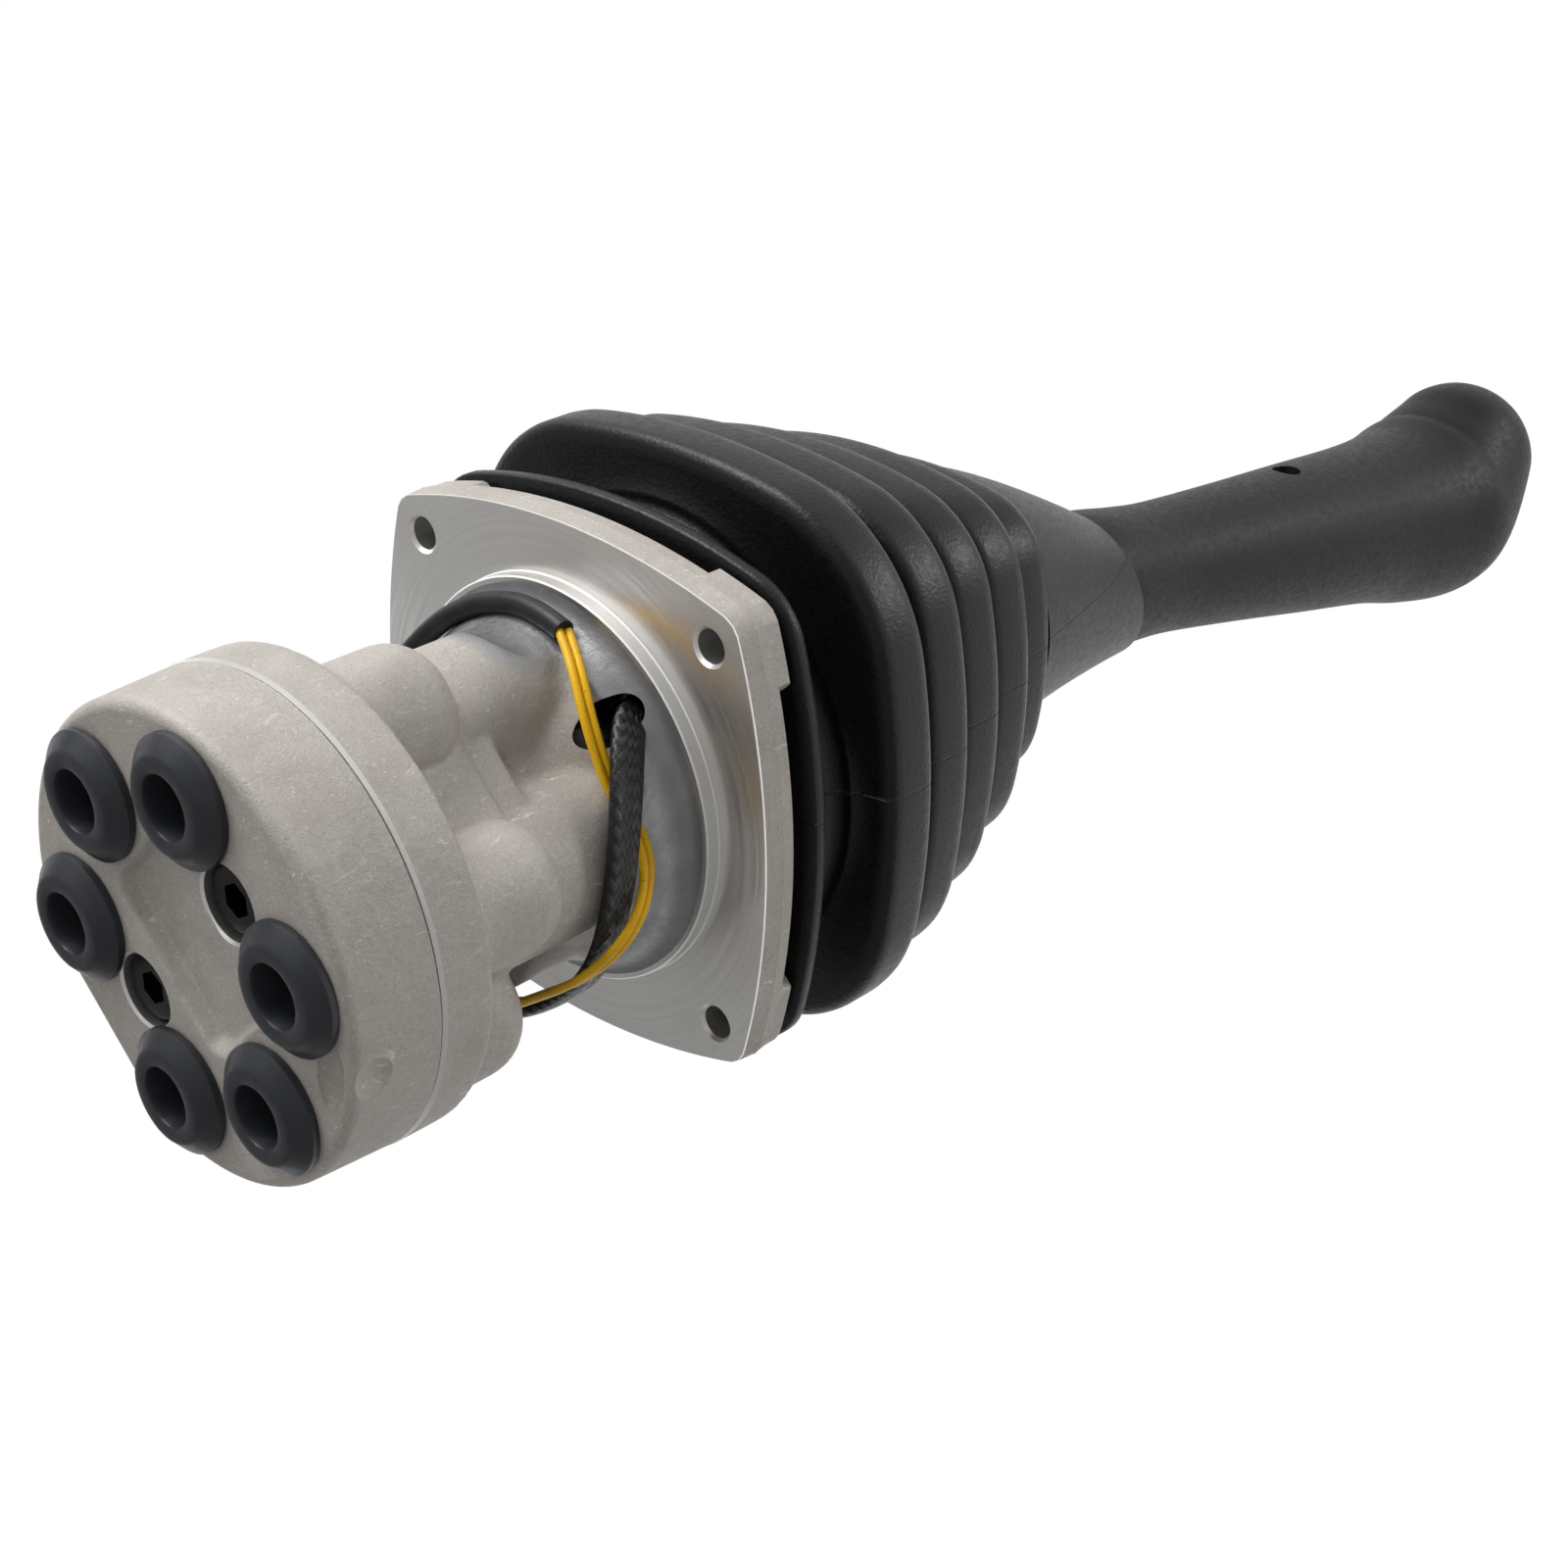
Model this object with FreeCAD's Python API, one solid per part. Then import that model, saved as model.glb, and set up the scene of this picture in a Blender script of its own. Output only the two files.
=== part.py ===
"""Hydraulic pilot joystick valve: four spring-returned pilot spools under a tilting lever.

Millimetres, +Z from the port block towards the grip. The origin is the centre of the
mounting plate's machined lower face. The lever tilts about X and then about Y, both
axes crossing at the universal joint's centre. Axis 1 to 4 are the push-rod axes at
0, 90, 180 and 270 degrees.
"""
import FreeCAD
import Part
import math
import os

V = FreeCAD.Vector
UP = V(0, 0, 1)

# Mounting plate, cast in one piece with the casing
PLATE_HALF = 53.8
PLATE_SIDE_RADIUS = 152.0
PLATE_CORNER_RADIUS = 5.5
PLATE_THICKNESS = 8.0
PLATE_DRAFT = 0.4
PLATE_FLASH_HEIGHT = 4.5
HOLE_PITCH = 80.0
HOLE_RADIUS = 3.4
BOSS_HEIGHT = 3.0
BOSS_RADIUS = 12.5
SPIGOT_RADIUS = 41.9
SPIGOT_HEIGHT = 3.1
SPIGOT_LAND = 1.2
NECK_COVE = 9.8
NECK_TAPER = 0.6
COLLAR_RADIUS = 43.0
COLLAR_HEIGHT = 8.0

# Casing below the plate
ROD_CIRCLE = 21.0
LOBE_RADIUS = 15.5
CORE_RADIUS = 25.0
FLANGE_RADIUS = 47.0
FLANGE_THICKNESS = 11.4
FLANGE_ROUND = 2.0
BODY_DEPTH = 60.0
GALLERY_BOSS_RADIUS = 12.6
MAIN_BOSS_RADIUS = 12.4
GALLERY_BOSS_ROUND = 9.5
GALLERY_BOSS_HEIGHT = 24.0
MAIN_BOSS_HEIGHT = 21.0
WEB_DISTANCE = 27.0
WEB_WIDTH = 30.0
WEB_BAND = 0.8
WEB_BAND_WIDTH = 7.5
WEB_HEIGHT = 29.5
SIDE_ANGLE = 135.0
LEAD_HOLE_CIRCLE = 33.3
LEAD_HOLE_RADIUS = 4.4
LEAD_HOLE_ANGLE = 135.5

# Port block
BLOCK_THICKNESS = 19.1
BLOCK_RADIUS = 47.0
BLOCK_DRAFT = 0.8
BLOCK_ROUND = 2.6
BLOCK_CHAMFER = 0.6
BLOCK_FLAT_DISTANCE = 42.6
BLOCK_NOTCH_RADIUS = 7.0
BLOCK_NOTCH_ANGLE = 191.5
BLOCK_NOTCH_CIRCLE = 51.0
BLOCK_NOTCH_DEPTH = 4.5
PORT_CIRCLE = 32.0
PORT_RADIUS = 7.475
PORT_DEPTH = 12.0
PORT_CHAMFER = 1.0
PORT_PAIR_ANGLE = 45.0
PORT_SPREAD = 55.0
POCKET_HALF_LENGTH = 18.5
POCKET_HALF_WIDTH = 8.7
POCKET_DEPTH = 3.2
POCKET_DRAFT = 2.4
POCKET_CORNER = 4.0

# Block screws, M8 socket heads
SCREW_CIRCLE = 21.0
SCREW_RADIUS = 4.0
SCREW_HEAD_RADIUS = 6.5
SCREW_HEAD_HEIGHT = 8.0
SCREW_HEAD_RECESS = 1.8
SCREW_BORE_RADIUS = 7.25
SCREW_GRIP = 26.0
SCREW_HEX = 6.0
SCREW_HEX_DEPTH = 4.5
THREAD_GAP = 0.03

# Locating pin between block and casing
PIN_RADIUS = 2.5
PIN_CIRCLE = 40.5
PIN_ANGLE = 72.5
PIN_DEPTH = 6.0

# Rubber shipping plugs
PLUG_BASE_RADIUS = 12.5
PLUG_FACE_RADIUS = 9.3
PLUG_RIM = 1.6
PLUG_HEIGHT = 4.5
PLUG_SHANK_LENGTH = 10.5
PLUG_BORE_RADIUS = 6.0
PLUG_BORE_DEPTH = 13.0
PLUG_FIT = 0.05

# Guide bushes and what runs in them
ROD_RADIUS = 4.0
ROD_FIT = 0.05
BUSH_RADIUS = 8.8
BUSH_FIT = 0.04
BUSH_LENGTH = 22.0
RING_SECTION = 2.0
RING_FIT = 0.1
RING_DEPTH = 8.0
SEAL_RADIUS = 6.4
SEAL_HEIGHT = 4.5
CHAMBER_DEPTH = 56.0
SEAT_RADIUS = 8.4
SEAT_THICKNESS = 3.5
SEAT_ROOM = 8.0
STEM_RADIUS = 2.2
STEM_FIT = 0.3
STEM_REACH = 4.5
ROD_BORE_DEPTH = 11.0
SPRING_FIT = 0.25
RETURN_COIL_RADIUS = 7.2
RETURN_WIRE_RADIUS = 0.95
RETURN_TURNS = 4.0
METER_COIL_RADIUS = 4.1
METER_WIRE_RADIUS = 0.7
METER_TURNS = 4.0
WIRE_SIDES = 6
METER_LENGTH = 20.0
SPOOL_RADIUS = 3.9
SPOOL_FIT = 0.03
SPOOL_COLLAR_RADIUS = 5.0
SPOOL_COLLAR_THICKNESS = 2.0
SPOOL_END_DEPTH = 10.6
SPOOL_GROOVE_RADIUS = 2.7
SPOOL_GROOVE_LENGTH = 7.0
SPOOL_LAND_LENGTH = 8.0
SPOOL_ROOM = 4.5
FACE_RING_RADIUS = 5.2
FACE_RING_SECTION = 1.5

# Universal joint
PIVOT_HEIGHT = 34.0
RETAINER_RADIUS = 31.0
RETAINER_THICKNESS = 3.5
RETAINER_HOLE = 5.2
BASE_STEM_RADIUS = 7.0
BASE_STEM_DEPTH = 24.0
BASE_FLANGE_RADIUS = 11.5
EAR_INNER = 7.2
EAR_THICKNESS = 4.0
EAR_HALF_WIDTH = 6.0
EAR_REACH = 10.0
TRUNNION_RADIUS = 3.0
TRUNNION_FIT = 0.05
CROSS_GAP = 0.25
CROSS_HALF_HEIGHT = 4.6
YOKE_FLANGE_RADIUS = 12.5
YOKE_FLANGE_THICKNESS = 4.0
YOKE_STEM_RADIUS = 6.0
YOKE_STEM_LENGTH = 34.0
DISC_RADIUS = 27.5
DISC_THICKNESS = 6.0
DISC_HUB_RADIUS = 12.0
DISC_HUB_HEIGHT = 3.0
DISC_ROD_GAP = 0.3
NUT_ACROSS = 19.0
NUT_HEIGHT = 7.0
FIT = 0.05

# Lever, cranked towards -Y above the bend
LEAN = 9.7
BEND_HEIGHT = 104.0
ADAPTER_ACROSS = 17.0
ADAPTER_HEIGHT = 24.0
TUBE_RADIUS = 7.0
TUBE_WALL = 1.5
TUBE_RISE = 136.0
BEND_RADIUS = 60.0

# Grip: rise above the boot's mouth and radius along the leaned axis, then the head's own stations,
# each with Y and Z from the head's centre, radius and tilt
GRIP_STATIONS = ((-6.0, 17.0), (2.0, 17.3), (16.0, 16.5), (31.0, 16.3), (61.0, 17.8), (91.0, 19.7),
                 (121.0, 21.5), (141.0, 23.9))
HEAD_RISE = 173.5
HEAD_FORWARD = 13.5
HEAD_RADIUS = 21.4
HEAD_TILT = 43.0
HEAD_LOWER = ((-9.2, -17.2, 25.9, 4.0), (-6.6, -7.5, 24.7, 20.0))
CAP_RINGS = (12.0, 32.0, 52.0, 70.0, 84.0)
GRIP_SCREW_RISE = 84.0
GRIP_SCREW_HOLE = 3.7
GRIP_SCREW_HEAD = 3.5
GRIP_SCREW_HEAD_HEIGHT = 4.0
GRIP_SCREW_SHANK = 2.0
GRIP_SCREW_HEX = 3.0
GRIP_SCREW_HEX_DEPTH = 2.0
GRIP_SCREW_SINK = 3.2

# Push button in the top of the head
BUTTON_BACK = 2.6
SPOT_SINK = 1.7
SPOT_RADIUS = 10.5
SPOT_CUT = 20.0
BEZEL_RADIUS = 9.5
BEZEL_HEIGHT = 1.4
SWITCH_RADIUS = 7.4
SWITCH_LENGTH = 20.0
BUTTON_RADIUS = 5.8
BUTTON_RISE = 2.4
BUTTON_TRAVEL = 2.0
BUTTON_LENGTH = 7.0
BUTTON_FIT = 0.08

# Rubber boot
BOOT_WALL = 2.2
FOLD_WALL = 3.1
NECK_WALL = 3.2
LIP_HALF = 54.8
LIP_SIDE_RADIUS = 150.0
LIP_CORNER_RADIUS = 15.0
LIP_THICKNESS = 1.8
BOOT_NECK_FIT = 0.3
BOOT_NECK_TOP = 25.5
BOOT_SHIFT_X = 0.5
BOOT_SHIFT_Y = 1.0
FIRST_PLEAT = 36.0
PLEAT_PITCH = 17.0
PLEAT_HALVES = (60.2, 55.1, 49.1, 43.2, 35.1)
PLEAT_VALLEY_DEPTH = 5.0
PLEAT_CORNERS = (0.6, 0.54, 0.5, 0.5, 0.5)
PLEAT_BOW = 2.7
PLEAT_PROFILE = ((4.2, -6.0), (1.0, -4.0), (0.0, -1.2), (0.7, 2.4), (2.8, 5.2))
BOOT_SPLIT_PLEAT = 2
CONE_RADIUS = 32.0
CONE_LEAN_POWER = 1.35
MOUTH_HEIGHT = 164.0
MOUTH_RADIUS = 19.3
MOUTH_FIT = 0.6
MOUTH_STEP = 12.0

# Lead that leaves the side hole and is wound round the neck
SLEEVE_RADIUS = 2.5
SHRINK_RADIUS = 2.2
WIRE_RADIUS = 0.85
STRAND_RADIUS = 0.5
STRAND_LENGTH = 6.0

# Places that follow from the sizes above
PARTING = -(BODY_DEPTH + FLANGE_THICKNESS)
FACE = PARTING - BLOCK_THICKNESS
CASING_TOP = PLATE_THICKNESS + COLLAR_HEIGHT
BUSH_BOTTOM = CASING_TOP - BUSH_LENGTH
SEAT_TOP = BUSH_BOTTOM - SEAT_ROOM
SEAT_BOTTOM = SEAT_TOP - SEAT_THICKNESS
DISC_BOTTOM = PIVOT_HEIGHT + EAR_REACH + YOKE_FLANGE_THICKNESS
ROD_TIP = DISC_BOTTOM - DISC_ROD_GAP
BASE_FLOOR = PIVOT_HEIGHT - EAR_REACH
ROD_ANGLES = (0.0, 90.0, 180.0, 270.0)
SCREW_ANGLES = (SIDE_ANGLE, SIDE_ANGLE + 180.0)
PRESSURE_ANGLE = PORT_PAIR_ANGLE
TANK_ANGLE = PORT_PAIR_ANGLE + 180.0
SERVICE_ANGLES = (PORT_PAIR_ANGLE + PORT_SPREAD, PORT_PAIR_ANGLE - PORT_SPREAD,
                  TANK_ANGLE + PORT_SPREAD, TANK_ANGLE - PORT_SPREAD)
PORT_ANGLES = (PRESSURE_ANGLE, TANK_ANGLE) + SERVICE_ANGLES
GRIP_HEIGHTS = [MOUTH_HEIGHT + rise for rise, radius in GRIP_STATIONS]
GRIP_RADII = [radius for rise, radius in GRIP_STATIONS]
GRIP_SCREW_HEIGHT = MOUTH_HEIGHT + GRIP_SCREW_RISE
TUBE_TOP = MOUTH_HEIGHT + TUBE_RISE
HEAD_CENTRE_Z = MOUTH_HEIGHT + HEAD_RISE
HEAD_CENTRE_Y = HEAD_FORWARD - math.tan(math.radians(LEAN)) * (HEAD_CENTRE_Z - BEND_HEIGHT)
BUTTON_Y = HEAD_CENTRE_Y - BUTTON_BACK
SPOT_HEIGHT = HEAD_CENTRE_Z + HEAD_RADIUS - SPOT_SINK


def at(radius, degrees, z=0.0):
    """Point at a radius and an angle round the Z axis."""
    turn = math.radians(degrees)
    return V(radius * math.cos(turn), radius * math.sin(turn), z)


def cylinder(radius, low, high, place=V(0, 0, 0)):
    """Upright cylinder between two heights, centred on place."""
    return Part.makeCylinder(radius, high - low, V(place.x, place.y, low))


def tube(outer, inner, low, high, place=V(0, 0, 0)):
    """Upright tube between two heights."""
    body = cylinder(outer, low, high, place)
    return body.cut(cylinder(inner, low - 1, high + 1, place))


def cone(lower, upper, low, high, place=V(0, 0, 0)):
    """Upright cone frustum between two heights."""
    return Part.makeCone(lower, upper, high - low, V(place.x, place.y, low))


def hexagon(across, low, high, place=V(0, 0, 0)):
    """Upright hexagonal prism, across flats."""
    corner = across / math.sqrt(3.0)
    points = [place + at(corner, 60.0 * k + 30.0, low) for k in range(7)]
    return Part.Face(Part.makePolygon(points)).extrude(V(0, 0, high - low))


def revolved(points, place=V(0, 0, 0)):
    """Solid of revolution about an upright axis from radius and height pairs."""
    outline = [V(r, 0, z) for r, z in points]
    face = Part.Face(Part.makePolygon(outline + outline[:1]))
    body = face.revolve(V(0, 0, 0), UP, 360)
    body.translate(V(place.x, place.y, 0))
    return body


def joined(pieces):
    """One solid from pieces that overlap."""
    body = pieces[0].fuse(pieces[1:])
    return body.removeSplitter()


def drilled(body, tools):
    """Body with every tool removed."""
    return body.cut(Part.makeCompound(tools)).removeSplitter()


def rounded_edges(body, radius, low, high):
    """Body with its edges between two heights rounded."""
    edges = [e for e in body.Edges
             if e.BoundBox.ZMin > low - 0.01 and e.BoundBox.ZMax < high + 0.01]
    return body.makeFillet(radius, edges)


def save(name, pieces):
    """Write one node as a STEP file, each piece a separate solid."""
    solids = []
    for piece in pieces:
        solids.extend(piece.Solids)
    shape = solids[0] if len(solids) == 1 else Part.makeCompound(solids)
    shape.exportStep("parts/" + name + ".step")
    if not shape.isValid() or len(solids) != len(pieces):
        print("check", name, "valid", shape.isValid(), "solids", len(solids), "of", len(pieces))


def bowed_square(half, side_radius, corner_radius, z, centre=V(0, 0, 0), tilt=0.0):
    """Wire of a square with bowed sides and round corners, as eight tangent arcs.

    Equal radii give a circle. Tilt turns the wire about the X direction through its centre.
    """
    rise = side_radius - half
    span = side_radius - corner_radius
    offset = (math.sqrt(max(2 * span ** 2 - rise ** 2, 0.0)) - rise) / 2
    if span < 1e-6:
        offset = 0.0
        along = V(math.sin(math.radians(32)), math.cos(math.radians(32)), 0)
    else:
        along = V(offset, offset + rise, 0) * (1 / span)
    corner = V(offset, offset, 0)
    join = corner + along * corner_radius
    middle = V(0, half, 0)
    diagonal = corner + V(1, 1, 0).normalize() * corner_radius
    edges = []
    for quarter in range(4):
        turn = FreeCAD.Rotation(UP, -90 * quarter)
        left = V(-join.x, join.y, 0)
        after = V(join.y, join.x, 0)
        edges.append(Part.Arc(turn * left, turn * middle, turn * join).toShape())
        edges.append(Part.Arc(turn * join, turn * diagonal, turn * after).toShape())
    wire = Part.Wire(edges)
    wire.rotate(V(0, 0, 0), V(1, 0, 0), tilt)
    wire.translate(V(centre.x, centre.y, z))
    return wire


def prism(half, side_radius, corner_radius, low, high):
    """Upright prism with a bowed square outline."""
    face = Part.Face(bowed_square(half, side_radius, corner_radius, low))
    return face.extrude(V(0, 0, high - low))


def plate_outline(low, high):
    """Prism of the mounting plate's outline."""
    return prism(PLATE_HALF, PLATE_SIDE_RADIUS, PLATE_CORNER_RADIUS, low, high)


def corner_points():
    """Centres of the four mounting holes."""
    half = HOLE_PITCH / 2
    return [V(x, y, 0) for x in (-half, half) for y in (-half, half)]


def cove_centre():
    """Radius and height of the turned cove's centre."""
    return SPIGOT_RADIUS - SPIGOT_LAND, -SPIGOT_HEIGHT - NECK_COVE


def neck():
    """Spigot and the tapered neck that joins it to the casing body."""
    land, low = cove_centre()
    return revolved([(0, 1), (SPIGOT_RADIUS, 1), (SPIGOT_RADIUS, -SPIGOT_HEIGHT), (land, -SPIGOT_HEIGHT),
                     (land - NECK_COVE, low), (CORE_RADIUS, low - (land - NECK_COVE - CORE_RADIUS) / NECK_TAPER),
                     (0, low - (land - NECK_COVE - CORE_RADIUS) / NECK_TAPER)])


def cove():
    """Round-nosed groove turned under the spigot, through the tops of the lobes."""
    land, low = cove_centre()
    return Part.makeTorus(land, NECK_COVE, V(0, 0, low))


def lead_hole():
    """Hole through the spigot for the lead."""
    low = cove_centre()[1] - NECK_COVE
    high = CASING_TOP + RETAINER_THICKNESS + 1
    return cylinder(LEAD_HOLE_RADIUS, low, high, at(LEAD_HOLE_CIRCLE, LEAD_HOLE_ANGLE))


def gallery_boss(angle):
    """Round-ended boss over one port's gallery; the pressure and tank ones are lower."""
    main = angle in (PRESSURE_ANGLE, TANK_ANGLE)
    top = (MAIN_BOSS_HEIGHT if main else GALLERY_BOSS_HEIGHT) - BODY_DEPTH
    radius = MAIN_BOSS_RADIUS if main else GALLERY_BOSS_RADIUS
    body = cylinder(radius, -BODY_DEPTH - 2, top, at(PORT_CIRCLE, angle))
    return rounded_edges(body, GALLERY_BOSS_ROUND, top, top)


def web(angle):
    """Flat cast web between two gallery bosses, with its raised band at the top."""
    top = WEB_HEIGHT - BODY_DEPTH
    panel = Part.makeBox(WEB_DISTANCE, WEB_WIDTH, WEB_HEIGHT + 2,
                         V(0, -WEB_WIDTH / 2, -BODY_DEPTH - 2))
    band = Part.makeBox(WEB_DISTANCE + WEB_BAND, WEB_WIDTH, WEB_BAND_WIDTH,
                        V(0, -WEB_WIDTH / 2, top - WEB_BAND_WIDTH))
    body = panel.fuse(band)
    body.rotate(V(0, 0, 0), UP, angle)
    return body


def make_casing():
    """Aluminium casting: plate, collar, neck, four lobes, gallery bosses and flange."""
    wide = PLATE_HALF + PLATE_DRAFT
    wires = [bowed_square(half, PLATE_SIDE_RADIUS, PLATE_CORNER_RADIUS, z)
             for half, z in ((PLATE_HALF, 0), (wide, PLATE_FLASH_HEIGHT), (PLATE_HALF, PLATE_THICKNESS))]
    plate = Part.makeLoft(wires, True, True)
    boss_top = PLATE_THICKNESS + BOSS_HEIGHT
    pads = plate_outline(1, boss_top)
    pads = pads.common(Part.makeCompound([cylinder(BOSS_RADIUS, 0, boss_top, p) for p in corner_points()]))
    flange = cylinder(FLANGE_RADIUS, PARTING, -BODY_DEPTH)
    flange = rounded_edges(flange, FLANGE_ROUND, -BODY_DEPTH, -BODY_DEPTH)
    pieces = [plate] + pads.Solids + [cylinder(COLLAR_RADIUS, 1, CASING_TOP), neck(), flange]
    pieces.append(cylinder(CORE_RADIUS, -BODY_DEPTH - 2, 0))
    pieces += [cylinder(LOBE_RADIUS, -BODY_DEPTH - 2, 0, at(ROD_CIRCLE, a)) for a in ROD_ANGLES]
    pieces += [gallery_boss(a) for a in PORT_ANGLES]
    pieces += [web(a) for a in SCREW_ANGLES]
    body = joined(pieces).cut(cove())
    tools = [cylinder(BASE_STEM_RADIUS + THREAD_GAP, CASING_TOP - BASE_STEM_DEPTH, CASING_TOP + 1)]
    for angle in ROD_ANGLES:
        place = at(ROD_CIRCLE, angle)
        tools.append(cylinder(BUSH_RADIUS + BUSH_FIT, -CHAMBER_DEPTH, CASING_TOP + 1, place))
        tools.append(cylinder(SPOOL_RADIUS + SPOOL_FIT, PARTING - 1, -CHAMBER_DEPTH + 1, place))
    for angle in SCREW_ANGLES:
        depth = PARTING + SCREW_GRIP - BLOCK_THICKNESS + SCREW_HEAD_HEIGHT + SCREW_HEAD_RECESS + 2
        tools.append(cylinder(SCREW_RADIUS + THREAD_GAP, PARTING - 1, depth, at(SCREW_CIRCLE, angle)))
    for place in corner_points():
        tools.append(cylinder(HOLE_RADIUS, -1, boss_top + 1, place))
    tools.append(lead_hole())
    tools.append(cylinder(PIN_RADIUS + FIT, PARTING - 1, PARTING + PIN_DEPTH, at(PIN_CIRCLE, PIN_ANGLE)))
    save("valve_casing", [drilled(body, tools)])


def pocket():
    """Shallow cast pocket with sloped walls along the pressure-to-tank diagonal."""
    wires = []
    for shrink, z in ((-0.5 * POCKET_DRAFT, FACE - 0.5 * POCKET_DEPTH), (POCKET_DRAFT, FACE + POCKET_DEPTH)):
        half_x = POCKET_HALF_LENGTH - shrink
        half_y = POCKET_HALF_WIDTH - shrink
        round_off = POCKET_CORNER - 0.5 * shrink
        box = Part.makeBox(2 * half_x, 2 * half_y, 1, V(-half_x, -half_y, z))
        box = box.makeFillet(round_off, [e for e in box.Edges if e.BoundBox.ZLength > 0.9])
        lowest = [f for f in box.Faces if abs(f.CenterOfMass.z - z) < 0.01][0]
        wires.append(lowest.OuterWire)
    body = Part.makeLoft(wires, True, True)
    body.rotate(V(0, 0, 0), UP, PORT_PAIR_ANGLE)
    return body


def make_port_block():
    """Port block: six ports, two counterbored screw holes, the pocket and the rim."""
    body = cone(BLOCK_RADIUS - BLOCK_DRAFT, BLOCK_RADIUS, FACE, PARTING)
    body = rounded_edges(body, BLOCK_ROUND, FACE, FACE)
    top_edge = [e for e in body.Edges if abs(e.BoundBox.ZMin - PARTING) < 0.01]
    body = body.makeChamfer(BLOCK_CHAMFER, [e for e in top_edge if e.BoundBox.ZLength < 0.01])
    size = 2 * BLOCK_RADIUS
    flat = Part.makeBox(size, size, BLOCK_THICKNESS + 2, V(BLOCK_FLAT_DISTANCE, -BLOCK_RADIUS, FACE - 1))
    flat.rotate(V(0, 0, 0), UP, SIDE_ANGLE + 180)
    tools = [flat, pocket()]
    tools.append(cylinder(BLOCK_NOTCH_RADIUS, FACE - 1, FACE + BLOCK_NOTCH_DEPTH,
                          at(BLOCK_NOTCH_CIRCLE, BLOCK_NOTCH_ANGLE)))
    for angle in PORT_ANGLES:
        place = at(PORT_CIRCLE, angle)
        tools.append(cylinder(PORT_RADIUS, FACE - 1, FACE + PORT_DEPTH, place))
        tools.append(cone(PORT_RADIUS + 2 * PORT_CHAMFER, PORT_RADIUS - PORT_CHAMFER,
                          FACE - PORT_CHAMFER, FACE + 2 * PORT_CHAMFER, place))
    seat = FACE + SCREW_HEAD_RECESS + SCREW_HEAD_HEIGHT
    for angle in SCREW_ANGLES:
        place = at(SCREW_CIRCLE, angle)
        tools.append(cylinder(SCREW_BORE_RADIUS, FACE - 1, seat, place))
        tools.append(cylinder(SCREW_RADIUS + FIT, FACE, PARTING + 1, place))
    for angle in ROD_ANGLES:
        place = at(ROD_CIRCLE, angle)
        tools.append(cylinder(SPOOL_RADIUS + SPOOL_FIT, PARTING - SPOOL_END_DEPTH - SPOOL_ROOM,
                              PARTING + 1, place))
        tools.append(tube(FACE_RING_RADIUS + FACE_RING_SECTION + RING_FIT, FACE_RING_RADIUS - RING_FIT,
                          PARTING - FACE_RING_SECTION, PARTING + 1, place))
    tools.append(cylinder(PIN_RADIUS + FIT, PARTING - PIN_DEPTH, PARTING + 1, at(PIN_CIRCLE, PIN_ANGLE)))
    save("port_block", [drilled(body, tools)])


def make_block_fasteners():
    """Two socket screws, the locating pin and the four face seals."""
    screws = []
    head = FACE + SCREW_HEAD_RECESS
    for angle in SCREW_ANGLES:
        place = at(SCREW_CIRCLE, angle)
        body = cylinder(SCREW_HEAD_RADIUS, head, head + SCREW_HEAD_HEIGHT, place)
        body = rounded_edges(body, 0.6, head, head)
        body = body.fuse(cylinder(SCREW_RADIUS, head + 1, head + SCREW_HEAD_HEIGHT + SCREW_GRIP, place))
        screws.append(body.cut(hexagon(SCREW_HEX, head - 1, head + SCREW_HEX_DEPTH, place)).removeSplitter())
    save("port_block_screws", screws)
    pin = cylinder(PIN_RADIUS, PARTING - PIN_DEPTH + 0.5, PARTING + PIN_DEPTH - 0.5, at(PIN_CIRCLE, PIN_ANGLE))
    save("locating_pin", [pin])
    rings = [tube(FACE_RING_RADIUS + FACE_RING_SECTION, FACE_RING_RADIUS, PARTING - FACE_RING_SECTION,
                  PARTING, at(ROD_CIRCLE, a)) for a in ROD_ANGLES]
    save("port_block_seals", rings)


def port_plug(angle):
    """Rubber shipping plug: dished head with a tapered flank, and a hollow shank."""
    nose = FACE - PLUG_HEIGHT
    shank = PORT_RADIUS - PLUG_FIT
    end = FACE + PLUG_SHANK_LENGTH
    outline = [(0, nose + PLUG_BORE_DEPTH), (PLUG_BORE_RADIUS, nose + PLUG_BORE_DEPTH),
               (PLUG_BORE_RADIUS, nose), (PLUG_FACE_RADIUS, nose), (PLUG_BASE_RADIUS, FACE - PLUG_RIM),
               (PLUG_BASE_RADIUS, FACE), (shank, FACE), (shank, end - 1), (shank - 1, end), (0, end)]
    return revolved(outline, at(PORT_CIRCLE, angle))


def make_plugs():
    """One plug for the pressure port, one for the tank port and four for the service ports."""
    save("pressure_port_plug", [port_plug(PRESSURE_ANGLE)])
    save("tank_port_plug", [port_plug(TANK_ANGLE)])
    save("service_port_plugs", [port_plug(a) for a in SERVICE_ANGLES])


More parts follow.
